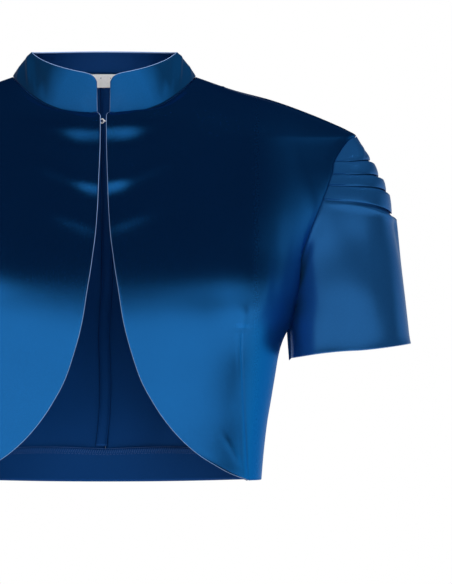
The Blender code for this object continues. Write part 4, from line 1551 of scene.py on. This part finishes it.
def stitch_tree():
    """Geometry nodes that lay a stitch at even steps along a path on the cloth."""
    tree = bpy.data.node_groups.get("Row of stitches")
    if tree:
        return tree
    sizes = [(name, "Float") for name in ("Spacing", "Length", "Radius", "Slant", "Unevenness")]
    inputs = [("Path", "Geometry"), *sizes, ("Seed", "Int"), ("Thread", "Material")]
    outputs = [("Stitches", "Geometry")]
    tree, entry, leave = new_group("Row of stitches", "GeometryNodeTree", inputs, outputs)
    given = entry.outputs
    curve = add_node(tree, "GeometryNodeMeshToCurve", {0: given["Path"]})
    places = add_node(tree, "GeometryNodeResampleCurve", {
        "Curve": curve.outputs[0], "Length": given["Spacing"]}, mode="LENGTH")
    ball = add_node(tree, "GeometryNodeMeshUVSphere", {"Segments": 6, "Rings": 5, "Radius": 1.0})
    half = maths(tree, "MULTIPLY", given["Length"], 0.5)
    shape = add_node(tree, "ShaderNodeCombineXYZ", {
        "X": half, "Y": given["Radius"], "Z": given["Radius"]})
    stitch = add_node(tree, "GeometryNodeTransform", {
        "Geometry": ball.outputs["Mesh"], "Scale": shape.outputs[0]})
    tangent = add_node(tree, "GeometryNodeInputTangent")
    facing = add_node(tree, "GeometryNodeInputNamedAttribute", {"Name": "facing"}, data_type="FLOAT_VECTOR")
    axes = add_node(tree, "FunctionNodeAxesToRotation", {
        "Primary Axis": facing.outputs["Attribute"], "Secondary Axis": tangent.outputs[0],
    }, primary_axis="Z", secondary_axis="X")
    copies = add_node(tree, "GeometryNodeInstanceOnPoints", {
        "Points": places.outputs[0], "Instance": stitch.outputs[0], "Rotation": axes.outputs[0]})
    least = maths(tree, "MULTIPLY", given["Unevenness"], -1.0)
    chance = add_node(tree, "FunctionNodeRandomValue", {
        2: least, 3: given["Unevenness"], "Seed": given["Seed"]}, data_type="FLOAT")
    lean = maths(tree, "ADD", given["Slant"], chance.outputs[1])
    turn = add_node(tree, "ShaderNodeCombineXYZ", {"Z": lean})
    turned = add_node(tree, "GeometryNodeRotateInstances", {
        "Instances": copies.outputs[0], "Rotation": turn.outputs[0]})
    real = add_node(tree, "GeometryNodeRealizeInstances", {0: turned.outputs[0]})
    finish = add_node(tree, "GeometryNodeSetMaterial", {
        "Geometry": real.outputs[0], "Material": given["Thread"]})
    fill_inputs(tree, leave, {0: finish.outputs[0]})
    return tree


def set_input(modifier, name, value):
    """Sets a modifier's input by the identifier of the socket with this name."""
    for socket in modifier.node_group.interface.items_tree:
        if socket.item_type == "SOCKET" and socket.in_out == "INPUT" and socket.name == name:
            modifier[socket.identifier] = value
            return
    raise RuntimeError("no input named " + name)


def stitch_row(name, path, facing, values, material):
    """A row of stitches along a path in millimetres, as a plain mesh."""
    mesh = bpy.data.meshes.new(name)
    edges = [(i, i + 1) for i in range(len(path) - 1)]
    mesh.from_pydata((path * MM).tolist(), edges, [])
    attribute = mesh.attributes.new("facing", "FLOAT_VECTOR", "POINT")
    attribute.data.foreach_set("vector", np.asarray(facing, np.float32).ravel())
    thing = link(bpy.data.objects.new(name, mesh))
    modifier = thing.modifiers.new("Stitches", "NODES")
    modifier.node_group = stitch_tree()
    for socket_name, value in values.items():
        set_input(modifier, socket_name, value)
    set_input(modifier, "Thread", material)
    graph = bpy.context.evaluated_depsgraph_get()
    finished = bpy.data.meshes.new_from_object(thing.evaluated_get(graph))
    thing.modifiers.clear()
    thing.data = finished
    finished.shade_smooth()
    if not finished.materials:
        finished.materials.append(material)
    return thing


def stitch_values(stitches, spacing, length, slant, unevenness):
    """Values for the inputs of the stitch tree."""
    return {
        "Spacing": float(spacing),
        "Length": float(length),
        "Radius": float(stitches.thread),
        "Slant": float(slant),
        "Unevenness": float(unevenness),
        "Seed": int(stitches.seed),
    }


def join(name, things):
    """One object from several meshes."""
    with bpy.context.temp_override(active_object=things[0], selected_editable_objects=things):
        bpy.ops.object.join()
    things[0].name = name
    things[0].data.name = name
    return things[0]


def overlock(stitches, grid, wall, material):
    """Slanted stitches and two needle lines along the top edge of the turn-up, on its inner face."""
    normal = grid_normals(grid)
    inner = grid - normal * (wall / MM + OVERLOCK_LIFT)
    down = unit(inner[-4] - inner[-1])
    reach = stitches.reach / MM
    facing = -normal[-1]
    length = stitches.reach / math.sin(stitches.slant)
    rows = []
    for name, drop, spacing, size, slant, uneven in (
        ("slanted", reach / 2, stitches.spacing, length, stitches.slant, 0.10),
        ("edge", 0.25, stitches.spacing, stitches.spacing * 1.15, 0.0, 0.12),
        ("needle", reach, stitches.spacing * 1.6, stitches.spacing * 1.3, 0.0, 0.05),
    ):
        values = stitch_values(stitches, spacing, size, slant, uneven)
        rows.append(stitch_row(name, inner[-1] + down * drop, facing, values, material))
    return join("overlock_stitches", rows)


class BOLERO_OT_fronts(bpy.types.Operator):
    """Make the two satin fronts with their darts and soft folds"""

    bl_idname = "bolero.fronts"
    bl_label = "Fronts"

    def execute(self, context):
        make_front(context, "front_left", False)
        make_front(context, "front_right", True)
        return {"FINISHED"}


class BOLERO_OT_backs(bpy.types.Operator):
    """Make the two satin backs"""

    bl_idname = "bolero.backs"
    bl_label = "Backs"

    def execute(self, context):
        make_back(context, "back_left", False)
        make_back(context, "back_right", True)
        return {"FINISHED"}


class BOLERO_OT_sleeves(bpy.types.Operator):
    """Make the two sleeves with four folded pleats each"""

    bl_idname = "bolero.sleeves"
    bl_label = "Sleeves"

    def execute(self, context):
        make_sleeve(context, "sleeve_left", False)
        make_sleeve(context, "sleeve_right", True)
        return {"FINISHED"}


class BOLERO_OT_collar(bpy.types.Operator):
    """Make the stand collar"""

    bl_idname = "bolero.collar"
    bl_label = "Collar"

    def execute(self, context):
        make_collar(context)
        return {"FINISHED"}


class BOLERO_OT_inside(bpy.types.Operator):
    """Make the back hem turn-up with its overlocked edge, and the centre-back seam allowance"""

    bl_idname = "bolero.inside"
    bl_label = "Turn-up and allowance"

    def execute(self, context):
        cloth = context.scene.bolero_cloth
        stitches = context.scene.bolero_stitches
        materials = [shell_materials(cloth, "body")[1]] * 3
        thread = thread_material(stitches)
        grid = turn_up_grid()
        turn_up = cloth_piece("satin_back_hem_turn_up", grid, TURN_UP_WALL, materials)
        sewing = overlock(stitches, grid, TURN_UP_WALL, thread)
        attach(sewing, "root")
        declare(turn_up, "back_hem_turn_up", CUTS["turn_up"])
        strip = cloth_piece("satin_centre_back_allowance", allowance_grid(), TURN_UP_WALL, materials)
        declare(strip, "centre_back_allowance", CUTS["allowance"])
        return {"FINISHED"}


class BOLERO_OT_label(bpy.types.Operator):
    """Make the blank woven neck label with the stitches at its ends"""

    bl_idname = "bolero.label"
    bl_label = "Label"

    def execute(self, context):
        cloth = context.scene.bolero_cloth
        stitches = context.scene.bolero_stitches
        woven = cloth_material(
            "label cloth", cloth.label_colour, roughness=0.6, metallic=0.0, threads=LABEL_THREADS,
            bump=0.6, variation=0.05)
        grid = label_grid()
        label = cloth_piece("woven_label", grid, LABEL_WALL, [woven] * 3)
        thread = cloth_material(
            "label thread", stitches.label_thread_colour, roughness=0.5, metallic=0.0,
            threads=SEWING_THREADS, bump=0.8)
        facing = -grid_normals(grid)
        inner = grid + facing * LABEL_STITCH_LIFT
        ends = []
        for column, name in ((1, "right"), (-2, "left")):
            values = stitch_values(stitches, LABEL_STITCH_SPACING, LABEL_STITCH_LENGTH, 0.0, 0.06)
            values["Radius"] = LABEL_THREAD_RADIUS
            ends.append(stitch_row(name, inner[2:, column], facing[2:, column], values, thread))
        sewing = join("label_stitches", ends)
        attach(sewing, "root")
        declare(label, "label", CUTS["label"])
        return {"FINISHED"}


class BOLERO_OT_hook(bpy.types.Operator):
    """Give the hook and the eye their bright steel"""

    bl_idname = "bolero.hook"
    bl_label = "Hook and eye"

    def execute(self, context):
        steel = steel_material()
        for name in ("hook", "eye"):
            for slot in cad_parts[name].material_slots:
                slot.material = steel
        return {"FINISHED"}


def pale_floor(stage):
    """A round, softly glowing floor far below the hem, which can't be seen from underneath."""
    low_z = CAD_BOX[0][2] - stage.floor_drop
    mesh = bpy.data.meshes.new("floor")
    disc = bmesh.new()
    bmesh.ops.create_circle(disc, cap_ends=True, radius=stage.floor_radius, segments=96)
    bmesh.ops.translate(disc, verts=disc.verts, vec=(0.0, 0.0, low_z))
    disc.normal_update()
    for face in disc.faces:
        if face.normal.z < 0:
            face.normal_flip()
    disc.to_mesh(mesh)
    disc.free()
    material, tree, shader = blank_material("pale floor")
    fill_inputs(tree, shader, {
        "Base Color": PALE_GREY,
        "Roughness": 0.9,
        "Emission Color": WHITE,
        "Emission Strength": FLOOR_GLOW,
    })
    below = add_node(tree, "ShaderNodeNewGeometry").outputs["Backfacing"]
    clear = add_node(tree, "ShaderNodeBsdfTransparent")
    mix = add_node(tree, "ShaderNodeMixShader", {0: below, 1: shader.outputs[0], 2: clear.outputs[0]})
    fill_inputs(tree, tree.nodes["Material Output"], {"Surface": mix.outputs[0]})
    mesh.materials.append(material)
    link(bpy.data.objects.new("floor", mesh))


def low_light_levels(tree, ray_y):
    """Strength of the low studio light all the way from the front round to the back."""
    round_about = maths(tree, "MULTIPLY_ADD", ray_y, 0.5, 0.5)
    node = add_node(tree, "ShaderNodeValToRGB", {0: round_about})
    front, back = node.color_ramp.elements
    front.color = scaled_colour(WHITE[:3], FRONT_LEVEL)
    back.color = scaled_colour(WHITE[:3], BACK_LEVEL)
    for row in LIGHT_LEVELS:
        stop = node.color_ramp.elements.new(row.place)
        stop.color = scaled_colour(WHITE[:3], row.level)
    return node.outputs[0]


def studio_light(stage):
    """A studio that is bright low down and dark overhead, which the satin mirrors, on a white ground.

    Towards the left of the wearer the dark begins lower, but not behind the jacket.
    """
    world = bpy.data.worlds.new("studio")
    world.use_nodes = True
    bpy.context.scene.world = world
    tree = world.node_tree
    place = add_node(tree, "ShaderNodeTexCoord").outputs["Generated"]
    ray = add_node(tree, "ShaderNodeSeparateXYZ", {0: place}).outputs
    bend = maths(tree, "POWER", maths(tree, "MAXIMUM", ray["X"], 0.0), SIDE_DROP_POWER)
    drop = remapped(tree, ray["Y"], stage.side_drop, 0.0, 0.0, SIDE_DROP_END_Y)
    height = maths(tree, "ADD", ray["Z"], maths(tree, "MULTIPLY", bend, drop))
    bright = remapped(tree, height, 1.0, 0.0, stage.bright_below, stage.dark_above,
                      interpolation_type="SMOOTHSTEP")
    shown = mixed_colour(tree, bright, STUDIO_DARK, low_light_levels(tree, ray["Y"]))
    mirrored = add_node(tree, "ShaderNodeBackground", {"Color": shown, "Strength": stage.brightness})
    ground = tree.nodes["Background"]
    fill_inputs(tree, ground, {"Color": WHITE})
    seen = add_node(tree, "ShaderNodeLightPath").outputs["Is Camera Ray"]
    mix = add_node(tree, "ShaderNodeMixShader", {0: seen, 1: mirrored.outputs[0], 2: ground.outputs[0]})
    fill_inputs(tree, tree.nodes["World Output"], {"Surface": mix.outputs[0]})


def soft_light(name, place, power):
    """A soft round light for the duller cloth, aimed at the jacket. The satin doesn't mirror it."""
    lamp = bpy.data.lights.new(name, "AREA")
    lamp.shape = "DISK"
    lamp.size = LIGHT_WIDTH
    lamp.energy = power
    holder = link(bpy.data.objects.new(name, lamp))
    holder.location = place
    aim = Vector(LIGHT_AIM) - Vector(place)
    holder.rotation_euler = aim.to_track_quat("-Z", "Y").to_euler()
    holder.visible_glossy = False
    holder.visible_camera = False


def place_camera(stage):
    """The camera straight in front, so far away that the view is almost without perspective."""
    camera = bpy.data.cameras.new("camera")
    camera.sensor_width = 36.0
    camera.sensor_fit = "AUTO"
    camera.lens = camera.sensor_width * stage.camera_distance / stage.view_height
    camera.clip_start = 0.1
    camera.clip_end = 100.0
    holder = link(bpy.data.objects.new("camera", camera))
    holder.location = (stage.camera_x, -stage.camera_distance, stage.camera_z)
    holder.rotation_euler = (math.pi / 2, 0.0, 0.0)
    bpy.context.scene.camera = holder


class BOLERO_OT_stage(bpy.types.Operator):
    """Make the camera, the pale floor and the studio light"""

    bl_idname = "bolero.stage"
    bl_label = "Stage"

    def execute(self, context):
        stage = context.scene.bolero_stage
        place_camera(stage)
        pale_floor(stage)
        studio_light(stage)
        soft_light("soft front light", FRONT_LIGHT_PLACE, stage.front_light)
        soft_light("soft side light", SIDE_LIGHT_PLACE, stage.side_light)
        context.scene.view_settings.view_transform = "Standard"
        return {"FINISHED"}


OPERATORS = [
    BOLERO_OT_stage,
    BOLERO_OT_fronts,
    BOLERO_OT_backs,
    BOLERO_OT_sleeves,
    BOLERO_OT_collar,
    BOLERO_OT_inside,
    BOLERO_OT_label,
    BOLERO_OT_hook,
]
GROUPS = {
    "bolero_cloth": JacketCloth,
    "bolero_folds": JacketFolds,
    "bolero_stitches": JacketStitches,
    "bolero_stage": JacketStage,
}


class BOLERO_PT_jacket(bpy.types.Panel):
    """Sizes, colours and pieces of the jacket"""

    bl_idname = "BOLERO_PT_jacket"
    bl_label = "Bolero jacket"
    bl_space_type = "VIEW_3D"
    bl_region_type = "UI"
    bl_category = "Bolero"

    def draw(self, context):
        for operator in OPERATORS:
            self.layout.operator(operator.bl_idname)
        for name in GROUPS:
            group = getattr(context.scene, name)
            box = self.layout.box()
            for key in group.bl_rna.properties.keys():
                if key not in ("rna_type", "name"):
                    box.prop(group, key)


def register():
    for name, group in GROUPS.items():
        bpy.utils.register_class(group)
        setattr(bpy.types.Scene, name, bpy.props.PointerProperty(type=group))
    for kind in [*OPERATORS, BOLERO_PT_jacket]:
        bpy.utils.register_class(kind)


def unregister():
    for kind in reversed([*OPERATORS, BOLERO_PT_jacket]):
        bpy.utils.unregister_class(kind)
    for name, group in GROUPS.items():
        delattr(bpy.types.Scene, name)
        bpy.utils.unregister_class(group)


def main():
    register()
    bpy.ops.bolero.stage()
    bpy.ops.bolero.fronts()
    bpy.ops.bolero.backs()
    bpy.ops.bolero.sleeves()
    bpy.ops.bolero.collar()
    bpy.ops.bolero.inside()
    bpy.ops.bolero.label()
    bpy.ops.bolero.hook()


if __name__ == "__main__":
    main()
